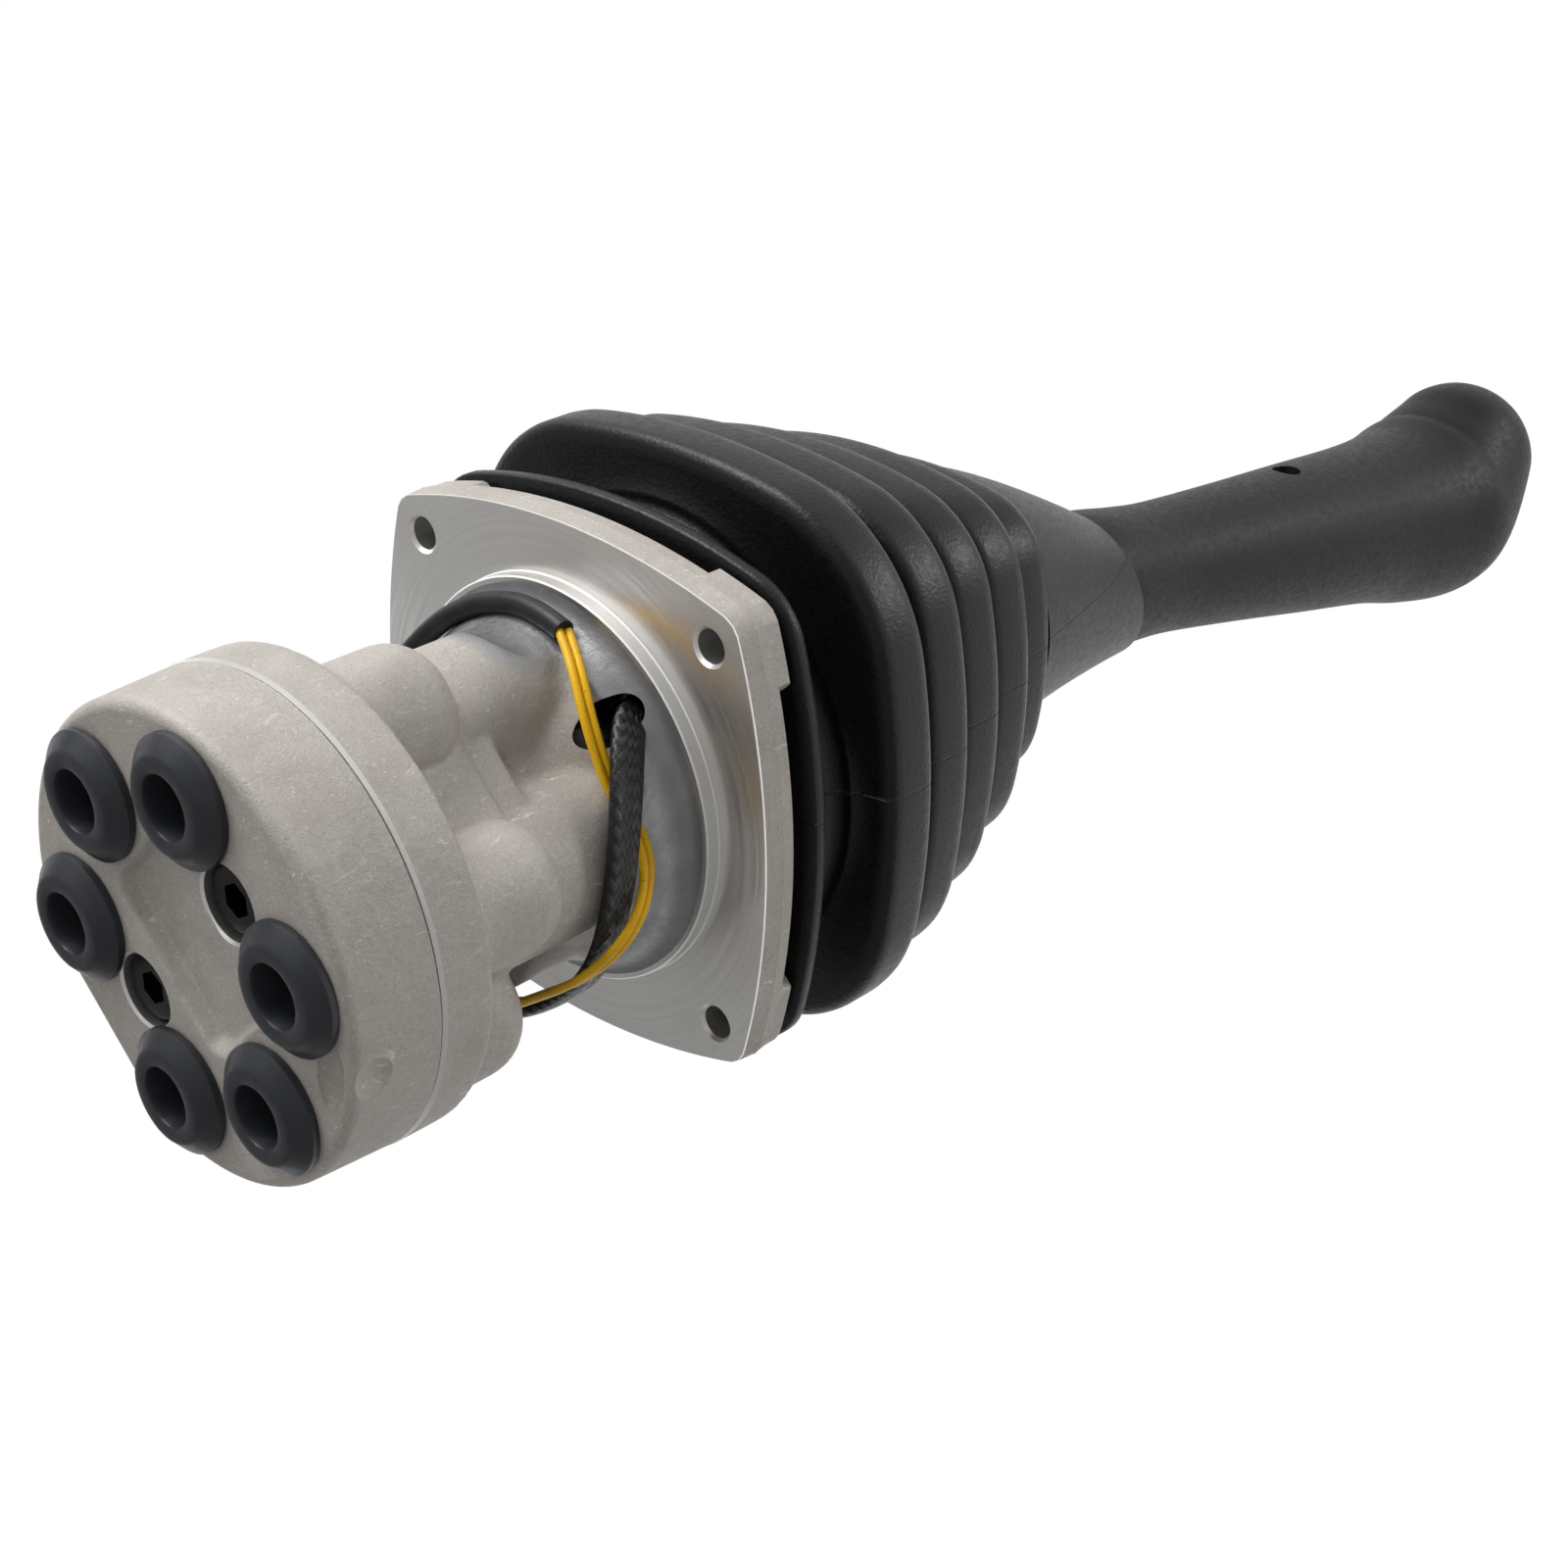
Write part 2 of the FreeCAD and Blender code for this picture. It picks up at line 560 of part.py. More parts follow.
def make_guides():
    """Guide bushes, their outer rings and the rod seals."""
    bushes = []
    rings = []
    seals = []
    level = CASING_TOP - RING_DEPTH
    for angle in ROD_ANGLES:
        place = at(ROD_CIRCLE, angle)
        body = tube(BUSH_RADIUS, ROD_RADIUS + ROD_FIT, BUSH_BOTTOM, CASING_TOP, place)
        body = body.cut(tube(BUSH_RADIUS + 1, BUSH_RADIUS - RING_SECTION - RING_FIT,
                             level - RING_SECTION / 2 - RING_FIT, level + RING_SECTION / 2 + RING_FIT, place))
        body = body.cut(cylinder(SEAL_RADIUS, CASING_TOP - SEAL_HEIGHT, CASING_TOP + 1, place))
        bushes.append(body)
        rings.append(tube(BUSH_RADIUS, BUSH_RADIUS - RING_SECTION, level - RING_SECTION / 2,
                          level + RING_SECTION / 2, place))
        seals.append(tube(SEAL_RADIUS - FIT, ROD_RADIUS + ROD_FIT, CASING_TOP - SEAL_HEIGHT,
                          CASING_TOP - FIT, place))
    save("guide_bushes", bushes)
    save("guide_bush_rings", rings)
    save("rod_seals", seals)


def make_axis_pieces():
    """Push rod, spring seat, both springs and the spool of each of the four axes."""
    spring_floor = -CHAMBER_DEPTH
    meter_floor = SEAT_BOTTOM - METER_LENGTH
    for number, angle in enumerate(ROD_ANGLES, 1):
        place = at(ROD_CIRCLE, angle)
        tip = V(place.x, place.y, ROD_TIP - ROD_RADIUS)
        rod = cylinder(ROD_RADIUS, SEAT_TOP, ROD_TIP - ROD_RADIUS, place)
        rod = rod.fuse(Part.makeSphere(ROD_RADIUS, tip)).removeSplitter()
        bore = STEM_RADIUS + STEM_FIT
        rod = rod.cut(cylinder(bore, SEAT_TOP - 1, SEAT_TOP + ROD_BORE_DEPTH, place))
        save("push_rod_%d" % number, [rod])
        save("spring_seat_%d" % number, [tube(SEAT_RADIUS, bore, SEAT_BOTTOM, SEAT_TOP, place)])
        save("return_spring_%d" % number,
             [coil(RETURN_COIL_RADIUS, RETURN_WIRE_RADIUS, RETURN_TURNS, spring_floor, SEAT_BOTTOM, place)])
        save("metering_spring_%d" % number,
             [coil(METER_COIL_RADIUS, METER_WIRE_RADIUS, METER_TURNS, meter_floor, SEAT_BOTTOM, place)])
        save("spool_%d" % number, [spool(meter_floor, place)])


def coil(radius, wire_radius, turns, low, high, place):
    """Round-wire compression spring between two heights."""
    start = low + wire_radius + SPRING_FIT
    length = high - low - 2 * (wire_radius + SPRING_FIT)
    path = Part.makeHelix(length / turns, length, radius)
    corners = [V(radius, 0, 0) + V(math.cos(t), 0, math.sin(t)) * wire_radius
               for t in (2 * math.pi * k / WIRE_SIDES for k in range(WIRE_SIDES + 1))]
    body = Part.Wire(path.Edges).makePipeShell([Part.makePolygon(corners)], True, True)
    body.translate(V(place.x, place.y, start))
    return body


def spool(collar_top, place):
    """Metering spool: stem, spring collar, and lands with two grooves."""
    end = PARTING - SPOOL_END_DEPTH
    collar = collar_top - SPOOL_COLLAR_THICKNESS
    low_groove = end + SPOOL_LAND_LENGTH
    high_groove = low_groove + SPOOL_GROOVE_LENGTH + SPOOL_LAND_LENGTH
    outline = [(0, end), (SPOOL_RADIUS, end), (SPOOL_RADIUS, low_groove),
               (SPOOL_GROOVE_RADIUS, low_groove), (SPOOL_GROOVE_RADIUS, low_groove + SPOOL_GROOVE_LENGTH),
               (SPOOL_RADIUS, low_groove + SPOOL_GROOVE_LENGTH), (SPOOL_RADIUS, high_groove),
               (SPOOL_GROOVE_RADIUS, high_groove), (SPOOL_GROOVE_RADIUS, collar),
               (SPOOL_COLLAR_RADIUS, collar), (SPOOL_COLLAR_RADIUS, collar_top),
               (STEM_RADIUS, collar_top), (STEM_RADIUS, SEAT_TOP + STEM_REACH), (0, SEAT_TOP + STEM_REACH)]
    return revolved(outline, place)


def ear(direction, low, high, top_round):
    """One ear of a fork along X, its far end rounded about the pivot."""
    start = EAR_INNER if direction > 0 else -EAR_INNER - EAR_THICKNESS
    box = Part.makeBox(EAR_THICKNESS, 2 * EAR_HALF_WIDTH, high - low, V(start, -EAR_HALF_WIDTH, low))
    disc = Part.makeCylinder(EAR_HALF_WIDTH, EAR_THICKNESS, V(start, 0, top_round), V(1, 0, 0))
    return box.fuse(disc)


def fork(low, high):
    """Two ears with the trunnion bores between them, along X."""
    body = joined([ear(1, low, high, PIVOT_HEIGHT), ear(-1, low, high, PIVOT_HEIGHT)])
    reach = EAR_INNER + EAR_THICKNESS + 1
    bore = Part.makeCylinder(TRUNNION_RADIUS + TRUNNION_FIT, 2 * reach, V(-reach, 0, PIVOT_HEIGHT), V(1, 0, 0))
    return body.cut(bore)


def make_universal_joint():
    """Retaining plate, joint base, cross and lever yoke."""
    top = CASING_TOP + RETAINER_THICKNESS
    holes = [cylinder(RETAINER_HOLE, CASING_TOP - 1, top + 1, at(ROD_CIRCLE, a)) for a in ROD_ANGLES]
    holes.append(cylinder(BASE_STEM_RADIUS + FIT, CASING_TOP - 1, top + 1))
    holes.append(lead_hole())
    save("retaining_plate", [drilled(cylinder(RETAINER_RADIUS, CASING_TOP, top), holes)])

    stem = cylinder(BASE_STEM_RADIUS, CASING_TOP - BASE_STEM_DEPTH + 2, top + 1)
    foot = cylinder(BASE_FLANGE_RADIUS, top, BASE_FLOOR)
    ears = fork(BASE_FLOOR - 1, PIVOT_HEIGHT)
    save("joint_base", [joined([stem, foot] + ears.Solids)])

    reach = EAR_INNER + EAR_THICKNESS
    half = EAR_INNER - CROSS_GAP
    block = Part.makeBox(2 * half, 2 * half, 2 * CROSS_HALF_HEIGHT, V(-half, -half, PIVOT_HEIGHT - CROSS_HALF_HEIGHT))
    block = block.makeChamfer(1.0, [e for e in block.Edges if e.BoundBox.ZLength > 1])
    along_x = Part.makeCylinder(TRUNNION_RADIUS, 2 * reach, V(-reach, 0, PIVOT_HEIGHT), V(1, 0, 0))
    along_y = Part.makeCylinder(TRUNNION_RADIUS, 2 * reach, V(0, -reach, PIVOT_HEIGHT), V(0, 1, 0))
    save("joint_cross", [joined([block, along_x, along_y])])

    crown = PIVOT_HEIGHT + EAR_REACH
    arms = fork(PIVOT_HEIGHT, crown + 1)
    arms.rotate(V(0, 0, 0), UP, 90)
    flange = cylinder(YOKE_FLANGE_RADIUS, crown, DISC_BOTTOM)
    screw = cylinder(YOKE_STEM_RADIUS, DISC_BOTTOM - 1, DISC_BOTTOM + YOKE_STEM_LENGTH)
    save("lever_yoke", [joined([flange, screw] + arms.Solids)])


def make_cam():
    """Cam disc that pushes the rods, and its lock nut."""
    top = DISC_BOTTOM + DISC_THICKNESS
    disc = cylinder(DISC_RADIUS, DISC_BOTTOM, top)
    disc = rounded_edges(disc, 1.5, top, top)
    disc = joined([disc, cylinder(DISC_HUB_RADIUS, top - 1, top + DISC_HUB_HEIGHT)])
    save("cam_disc", [disc.cut(cylinder(YOKE_STEM_RADIUS + FIT, DISC_BOTTOM - 1, top + DISC_HUB_HEIGHT + 1))])
    low = top + DISC_HUB_HEIGHT
    nut = hexagon(NUT_ACROSS, low, low + NUT_HEIGHT)
    save("cam_lock_nut", [nut.cut(cylinder(YOKE_STEM_RADIUS + FIT, low - 1, low + NUT_HEIGHT + 1))])
    return low + NUT_HEIGHT


def lean_point(z):
    """Point on the leaned lever axis at a height."""
    return V(0, -math.tan(math.radians(LEAN)) * (z - BEND_HEIGHT), z)


def lean_direction():
    """Unit vector along the leaned lever axis."""
    return V(0, -math.sin(math.radians(LEAN)), math.cos(math.radians(LEAN)))


def lever_path(bottom, top):
    """Straight, arc and leaned straight as one wire."""
    run = BEND_RADIUS * math.tan(math.radians(LEAN / 2))
    bend = V(0, 0, BEND_HEIGHT)
    before = bend - UP * run
    after = bend + lean_direction() * run
    centre = before + V(0, -BEND_RADIUS, 0)
    half = math.radians(LEAN / 2)
    middle = centre + V(0, BEND_RADIUS * math.cos(half), BEND_RADIUS * math.sin(half))
    return Part.Wire([Part.LineSegment(V(0, 0, bottom), before).toShape(),
                      Part.Arc(before, middle, after).toShape(),
                      Part.LineSegment(after, lean_point(top)).toShape()])


def pipe(path, radius):
    """Round bar along a path."""
    start = path.Vertexes[0].Point
    ahead = path.Edges[0].tangentAt(path.Edges[0].FirstParameter)
    section = Part.Wire(Part.makeCircle(radius, start, ahead))
    return path.makePipeShell([section], True, True)


def make_lever(bottom):
    """Hexagonal adapter screwed on the yoke, and the cranked tube above it."""
    stem_top = DISC_BOTTOM + YOKE_STEM_LENGTH
    top = bottom + ADAPTER_HEIGHT
    body = hexagon(ADAPTER_ACROSS, bottom, top)
    body = body.common(cylinder(ADAPTER_ACROSS / 2 + 0.8, bottom, top))
    body = body.cut(cylinder(YOKE_STEM_RADIUS + FIT, bottom - 1, stem_top + 1))
    body = body.cut(cylinder(TUBE_RADIUS + FIT, stem_top + 1, top + 1))
    save("lever_adapter", [body.removeSplitter()])
    path = lever_path(stem_top + 1, TUBE_TOP)
    outer = pipe(path, TUBE_RADIUS)
    inner = pipe(path, TUBE_RADIUS - TUBE_WALL)
    save("lever_tube", [outer.cut(inner)])


def station(y, z, radius, tilt):
    """Round section of the grip; tilt leans its axis towards +Y."""
    turn = math.radians(tilt)
    return Part.Wire(Part.makeCircle(radius, V(0, y, z), V(0, math.sin(turn), math.cos(turn))))


def grip_sections():
    """Round sections from the grip's lower end to the crown of its head."""
    wires = [station(lean_point(z).y, z, r, -LEAN) for z, r in zip(GRIP_HEIGHTS, GRIP_RADII)]
    wires += [station(HEAD_CENTRE_Y + y, HEAD_CENTRE_Z + z, r, tilt) for y, z, r, tilt in HEAD_LOWER]
    lean = math.radians(HEAD_TILT)
    for ring in CAP_RINGS:
        out = HEAD_RADIUS * math.sin(math.radians(ring))
        radius = HEAD_RADIUS * math.cos(math.radians(ring))
        wires.append(station(HEAD_CENTRE_Y + out * math.sin(lean), HEAD_CENTRE_Z + out * math.cos(lean),
                             radius, HEAD_TILT))
    return wires


def grip_radius(z):
    """Radius of the grip at a height along its leaned axis."""
    pairs = list(zip(GRIP_HEIGHTS, GRIP_RADII))
    for (low, start), (high, end) in zip(pairs, pairs[1:]):
        if z <= high:
            return start + (end - start) * (z - low) / (high - low)
    return GRIP_RADII[-1]


def grip_screw_frame():
    """Point on the lever axis at the grip screw, and the screw's outward direction."""
    lean = math.radians(LEAN)
    return lean_point(GRIP_SCREW_HEIGHT), V(0, math.cos(lean), math.sin(lean))


def make_grip():
    """Moulded grip with its bore, screw hole and switch pocket, and the grip screw."""
    body = Part.makeLoft(grip_sections(), True, False)
    foot = lean_point(GRIP_HEIGHTS[0]) - lean_direction() * 2
    bore = Part.makeCylinder(TUBE_RADIUS + FIT, (TUBE_TOP - GRIP_HEIGHTS[0]) / math.cos(math.radians(LEAN)) + 4,
                             foot, lean_direction())
    place, out = grip_screw_frame()
    skin = grip_radius(GRIP_SCREW_HEIGHT)
    seat = skin - GRIP_SCREW_HEAD_HEIGHT - GRIP_SCREW_SINK
    button = V(0, BUTTON_Y, 0)
    tools = [bore,
             Part.makeCylinder(GRIP_SCREW_HOLE, skin, place + out * seat, out),
             Part.makeCylinder(GRIP_SCREW_SHANK + FIT, skin, place, out),
             cylinder(SPOT_RADIUS, SPOT_HEIGHT, SPOT_HEIGHT + SPOT_CUT, button),
             cylinder(SWITCH_RADIUS + FIT, SPOT_HEIGHT - SWITCH_LENGTH, SPOT_HEIGHT + 1, button)]
    save("grip", [body.cut(Part.makeCompound(tools))])
    inner = TUBE_RADIUS + FIT
    screw = Part.makeCylinder(GRIP_SCREW_HEAD, GRIP_SCREW_HEAD_HEIGHT, place + out * seat, out)
    screw = screw.fuse(Part.makeCylinder(GRIP_SCREW_SHANK, seat - inner + 1, place + out * inner, out))
    socket = hexagon(GRIP_SCREW_HEX, 0, GRIP_SCREW_HEX_DEPTH + 1)
    socket.Placement = FreeCAD.Placement(place + out * (seat + GRIP_SCREW_HEAD_HEIGHT - GRIP_SCREW_HEX_DEPTH),
                                         FreeCAD.Rotation(UP, out))
    save("grip_screw", [screw.removeSplitter().cut(socket)])


def make_switch():
    """Switch body with its bezel, and the push button that slides in it."""
    place = V(0, BUTTON_Y, 0)
    bezel_top = SPOT_HEIGHT + BEZEL_HEIGHT
    button_top = bezel_top + BUTTON_RISE
    button_low = button_top - BUTTON_LENGTH
    body = cylinder(SWITCH_RADIUS, SPOT_HEIGHT - SWITCH_LENGTH, bezel_top, place)
    rim = cylinder(BEZEL_RADIUS, SPOT_HEIGHT, bezel_top, place)
    body = joined([body, rounded_edges(rim, 0.6, bezel_top, bezel_top)])
    well = cylinder(BUTTON_RADIUS + BUTTON_FIT, button_low - BUTTON_TRAVEL - 0.3, bezel_top + 1, place)
    save("switch_body", [body.cut(well)])
    button = cylinder(BUTTON_RADIUS, button_low, button_top, place)
    save("push_button", [rounded_edges(button, 1.0, button_top, button_top)])


def pleat_section(index, half, z):
    """Boot section with the pleat's bowed sides and round corners, beside the lever's axis."""
    return bowed_square(half, PLEAT_BOW * half, PLEAT_CORNERS[index] * half, z, V(BOOT_SHIFT_X, BOOT_SHIFT_Y, 0))


def valley_half(index):
    """Half size of the valley above a pleat."""
    return PLEAT_HALVES[index + 1] - PLEAT_VALLEY_DEPTH


def pleat_level(index):
    """Height of a pleat's widest band."""
    return FIRST_PLEAT + PLEAT_PITCH * index


def pleat_wires(index):
    """Outer sections of one pleat from its foot to its shoulder, and its inner section."""
    half = PLEAT_HALVES[index]
    level = pleat_level(index)
    outer = [pleat_section(index, half - inset, level + rise) for inset, rise in PLEAT_PROFILE]
    return outer, [pleat_section(index, half - FOLD_WALL, level)]


def valley_wires(index):
    """Outer and inner section of the valley above a pleat."""
    half = valley_half(index)
    z = pleat_level(index) + 0.5 * PLEAT_PITCH
    return [pleat_section(index, half, z)], [pleat_section(index, half - BOOT_WALL, z)]


def boot_cone(shrink):
    """Round sections of the plain cone above the last pleat, leaning over to the grip."""
    start = pleat_level(len(PLEAT_HALVES) - 1) + 0.5 * PLEAT_PITCH
    wires = []
    for share in (0.0, 0.5, 1.0):
        radius = CONE_RADIUS + share * (MOUTH_RADIUS - CONE_RADIUS) - shrink
        z = start + share * (MOUTH_HEIGHT - start)
        lean = share ** CONE_LEAN_POWER
        centre = V(BOOT_SHIFT_X, BOOT_SHIFT_Y, 0) * (1 - lean) + V(0, lean_point(MOUTH_HEIGHT).y, 0) * lean
        wires.append(bowed_square(radius, radius, radius, z, centre, lean * LEAN))
    return wires


def make_boot():
    """Bellows boot in two solids that meet in the valley above the second pleat."""
    lip_low = PLATE_THICKNESS + BOSS_HEIGHT
    inner_neck = COLLAR_RADIUS + BOOT_NECK_FIT
    outer_neck = inner_neck + NECK_WALL
    split = BOOT_SPLIT_PLEAT - 1
    split_level = pleat_level(split) + 0.5 * PLEAT_PITCH
    split_inner = valley_half(split) - BOOT_WALL

    outer = [bowed_square(outer_neck, outer_neck, outer_neck, lip_low),
             bowed_square(outer_neck + 1, outer_neck + 1, outer_neck + 1, BOOT_NECK_TOP)]
    inner = [bowed_square(inner_neck, inner_neck, inner_neck, lip_low - 1),
             bowed_square(inner_neck, inner_neck, inner_neck, BOOT_NECK_TOP + 2)]
    for index in range(BOOT_SPLIT_PLEAT):
        for outside, inside in (pleat_wires(index), valley_wires(index)):
            outer += outside
            inner += inside
    inner.append(pleat_section(split, split_inner, split_level + 1))
    lip = prism(LIP_HALF, LIP_SIDE_RADIUS, LIP_CORNER_RADIUS, lip_low, lip_low + LIP_THICKNESS)
    lower = joined([Part.makeLoft(outer, True, True), lip])
    save("boot_lower", [lower.cut(Part.makeLoft(inner, True, True))])

    outer, inner = valley_wires(split)
    inner.insert(0, pleat_section(split, split_inner, split_level - 1))
    for index in range(BOOT_SPLIT_PLEAT, len(PLEAT_HALVES)):
        outside, inside = pleat_wires(index)
        outer += outside
        inner += inside
        if index < len(PLEAT_HALVES) - 1:
            outside, inside = valley_wires(index)
            outer += outside
            inner += inside
    outer += boot_cone(0.0)
    inner += boot_cone(BOOT_WALL)
    upper = Part.makeLoft(outer, True, True).cut(Part.makeLoft(inner, True, True))
    step = lean_point(MOUTH_HEIGHT) - lean_direction() * MOUTH_STEP * 0.5
    upper = upper.cut(Part.makeCylinder(GRIP_RADII[0] + MOUTH_FIT, MOUTH_STEP, step, lean_direction()))
    save("boot_upper", [upper])


def rounded_route(points):
    """Straight runs joined by tangent arcs, and the arcs' radii."""
    edges = []
    radii = []
    start = points[0]
    for before, here, after in zip(points, points[1:], points[2:]):
        back = (before - here)
        ahead = (after - here)
        turn = math.pi - back.getAngle(ahead)
        radius = 0.45 * min(back.Length, ahead.Length) / math.tan(turn / 2)
        cut = radius * math.tan(turn / 2)
        enter = here + back.normalize() * cut
        leave = here + ahead.normalize() * cut
        bisector = (back + ahead).normalize()
        middle = here + bisector * (radius / math.cos(turn / 2) - radius)
        edges.append(Part.LineSegment(start, enter).toShape())
        edges.append(Part.Arc(enter, middle, leave).toShape())
        radii.append(radius)
        start = leave
    edges.append(Part.LineSegment(start, points[-1]).toShape())
    return Part.Wire(edges), radii


def route(stations):
    """Points from angle, radius and height stations round the neck."""
    return [at(radius, angle, z) for angle, radius, z in stations]


# Angle, radius and height of the lead's route: sleeve, heat-shrink tube, then the two wires
SLEEVE_ROUTE = ((135.0, 33.2, 8.0), (135.3, 33.5, -1.0), (138.5, 34.8, -7.2), (146, 37.4, -12.4),
                (157, 38.9, -17.6), (167, 39.4, -20.8), (177.8, 39.3, -22.9), (189, 39.1, -24.2),
                (203, 38.6, -24.2), (219, 38.1, -23.6), (235, 38.0, -23.4), (249, 38.8, -25.0),
                (262, 39.6, -26.0), (276, 39.9, -26.2), (294, 39.6, -26.2), (314, 39.4, -26.0))
SHRINK_ROUTE = ((314, 39.4, -26.0), (336, 39.4, -24.0), (358, 39.6, -19.5), (19, 39.2, -14.2),
                (39, 38.4, -10.0), (58, 38.2, -7.8), (76, 38.2, -6.7), (92, 38.2, -6.6), (105, 38.0, -7.9))
WIRE_SPREAD = 0.9
WIRE_ROUTE = ((105, 38.0, -7.9), (113, 37.6, -10.4), (122, 36.9, -13.2), (133, 35.6, -15.7), (145, 34.3, -16.7),
              (156, 34.2, -16.6), (166, 35.6, -15.2), (175.5, 38.2, -14.9), (183.5, 41.2, -18.2),
              (190, 43.2, -22.8), (197, 42.8, -27.4), (206, 40.4, -30.0), (216, 37.7, -30.9),
              (227, 36.0, -30.2), (240, 35.8, -30.0), (252, 37.0, -30.4), (264, 38.6, -30.8), (277, 39.0, -30.9),
              (292, 38.8, -30.8))


def beside(stations, offset):
    """Stations moved sideways along the neck's surface, square to the route."""
    moved = []
    for index, (angle, radius, z) in enumerate(stations):
        before = stations[max(index - 1, 0)]
        after = stations[min(index + 1, len(stations) - 1)]
        arc = math.radians(after[0] - before[0]) * radius
        rise = after[2] - before[2]
        length = math.hypot(arc, rise)
        moved.append((angle - math.degrees(offset * rise / length / radius), radius, z + offset * arc / length))
    return moved


def corded(name, stations, radius):
    """Tube of one stretch of the lead, and its path."""
    path, radii = rounded_route(route(stations))
    body = pipe(path, radius)
    save(name, [body])
    whole = path.Length * math.pi * radius ** 2
    print(name, "length", round(path.Length, 1), "volume", round(body.Volume / whole, 4),
          "radii", [round(r, 1) for r in radii])
    return path


def make_lead():
    """Sleeved two-wire lead wound round the neck, and the tinned ends of its wires."""
    corded("lead_sleeve", SLEEVE_ROUTE, SLEEVE_RADIUS)
    corded("lead_shrink_tube", SHRINK_ROUTE, SHRINK_RADIUS)
    strands = []
    for name, offset in (("lead_wire_1", WIRE_SPREAD), ("lead_wire_2", -WIRE_SPREAD)):
        run = corded(name, beside(WIRE_ROUTE, offset), WIRE_RADIUS).Edges[-1]
        end = run.valueAt(run.LastParameter)
        strands.append(Part.makeCylinder(STRAND_RADIUS, STRAND_LENGTH, end, run.tangentAt(run.LastParameter)))
    save("lead_wire_ends", strands)


os.makedirs("parts", exist_ok=True)
make_casing()
make_port_block()
make_block_fasteners()
make_plugs()
make_guides()
make_axis_pieces()
make_universal_joint()
make_lever(make_cam())
make_grip()
make_switch()
make_boot()
make_lead()
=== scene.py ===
"""Visible model of a hydraulic pilot joystick valve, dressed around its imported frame.

The frame is in metres: the origin is the centre of the mounting plate's machined face
and +Z runs along the lever towards the grip. Sizes in the classes are in millimetres.
"""
from __future__ import annotations

import logging
import math
from dataclasses import dataclass
from enum import Enum
from typing import Iterable, Sequence

import bpy
import numpy as np
from mathutils import Matrix, Vector

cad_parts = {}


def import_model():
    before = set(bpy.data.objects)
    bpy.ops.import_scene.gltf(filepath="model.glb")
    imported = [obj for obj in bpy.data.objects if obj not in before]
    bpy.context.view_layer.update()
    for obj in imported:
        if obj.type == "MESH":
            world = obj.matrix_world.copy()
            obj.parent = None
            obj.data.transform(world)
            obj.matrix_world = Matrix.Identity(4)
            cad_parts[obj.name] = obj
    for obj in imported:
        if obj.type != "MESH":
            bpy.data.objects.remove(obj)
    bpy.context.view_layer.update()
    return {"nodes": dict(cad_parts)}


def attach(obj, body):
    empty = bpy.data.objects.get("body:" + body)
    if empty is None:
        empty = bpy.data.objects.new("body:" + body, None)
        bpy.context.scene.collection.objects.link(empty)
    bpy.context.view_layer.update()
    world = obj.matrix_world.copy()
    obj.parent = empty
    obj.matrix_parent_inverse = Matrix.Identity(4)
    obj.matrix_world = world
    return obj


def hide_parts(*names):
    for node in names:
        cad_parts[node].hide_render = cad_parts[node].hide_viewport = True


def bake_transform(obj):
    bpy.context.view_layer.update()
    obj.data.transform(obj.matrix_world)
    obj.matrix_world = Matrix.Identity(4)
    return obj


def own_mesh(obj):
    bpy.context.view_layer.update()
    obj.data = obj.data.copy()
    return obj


LOG = logging.getLogger("joystick")
MM = 0.001
QUARTERS = (0, 90, 180, 270)
DIAGONALS = (135, 315)
Pair = tuple[float, float]
Triple = tuple[float, float, float]
Object = bpy.types.Object
Socket = bpy.types.NodeSocket


class Body(Enum):
    """Bodies of the frame that pieces ride on."""

    VALVE = "valve_body"
    CROSS = "cross"
    LEVER = "lever"
    BUTTON = "button"


def linear(red: float, green: float, blue: float) -> tuple[float, float, float, float]:
    """Linear colour with its alpha, from display values of 0 to 255."""
    shares = [value / 255 for value in (red, green, blue)]
    curve = [s / 12.92 if s <= 0.04045 else ((s + 0.055) / 1.055) ** 2.4 for s in shares]
    return curve[0], curve[1], curve[2], 1.0


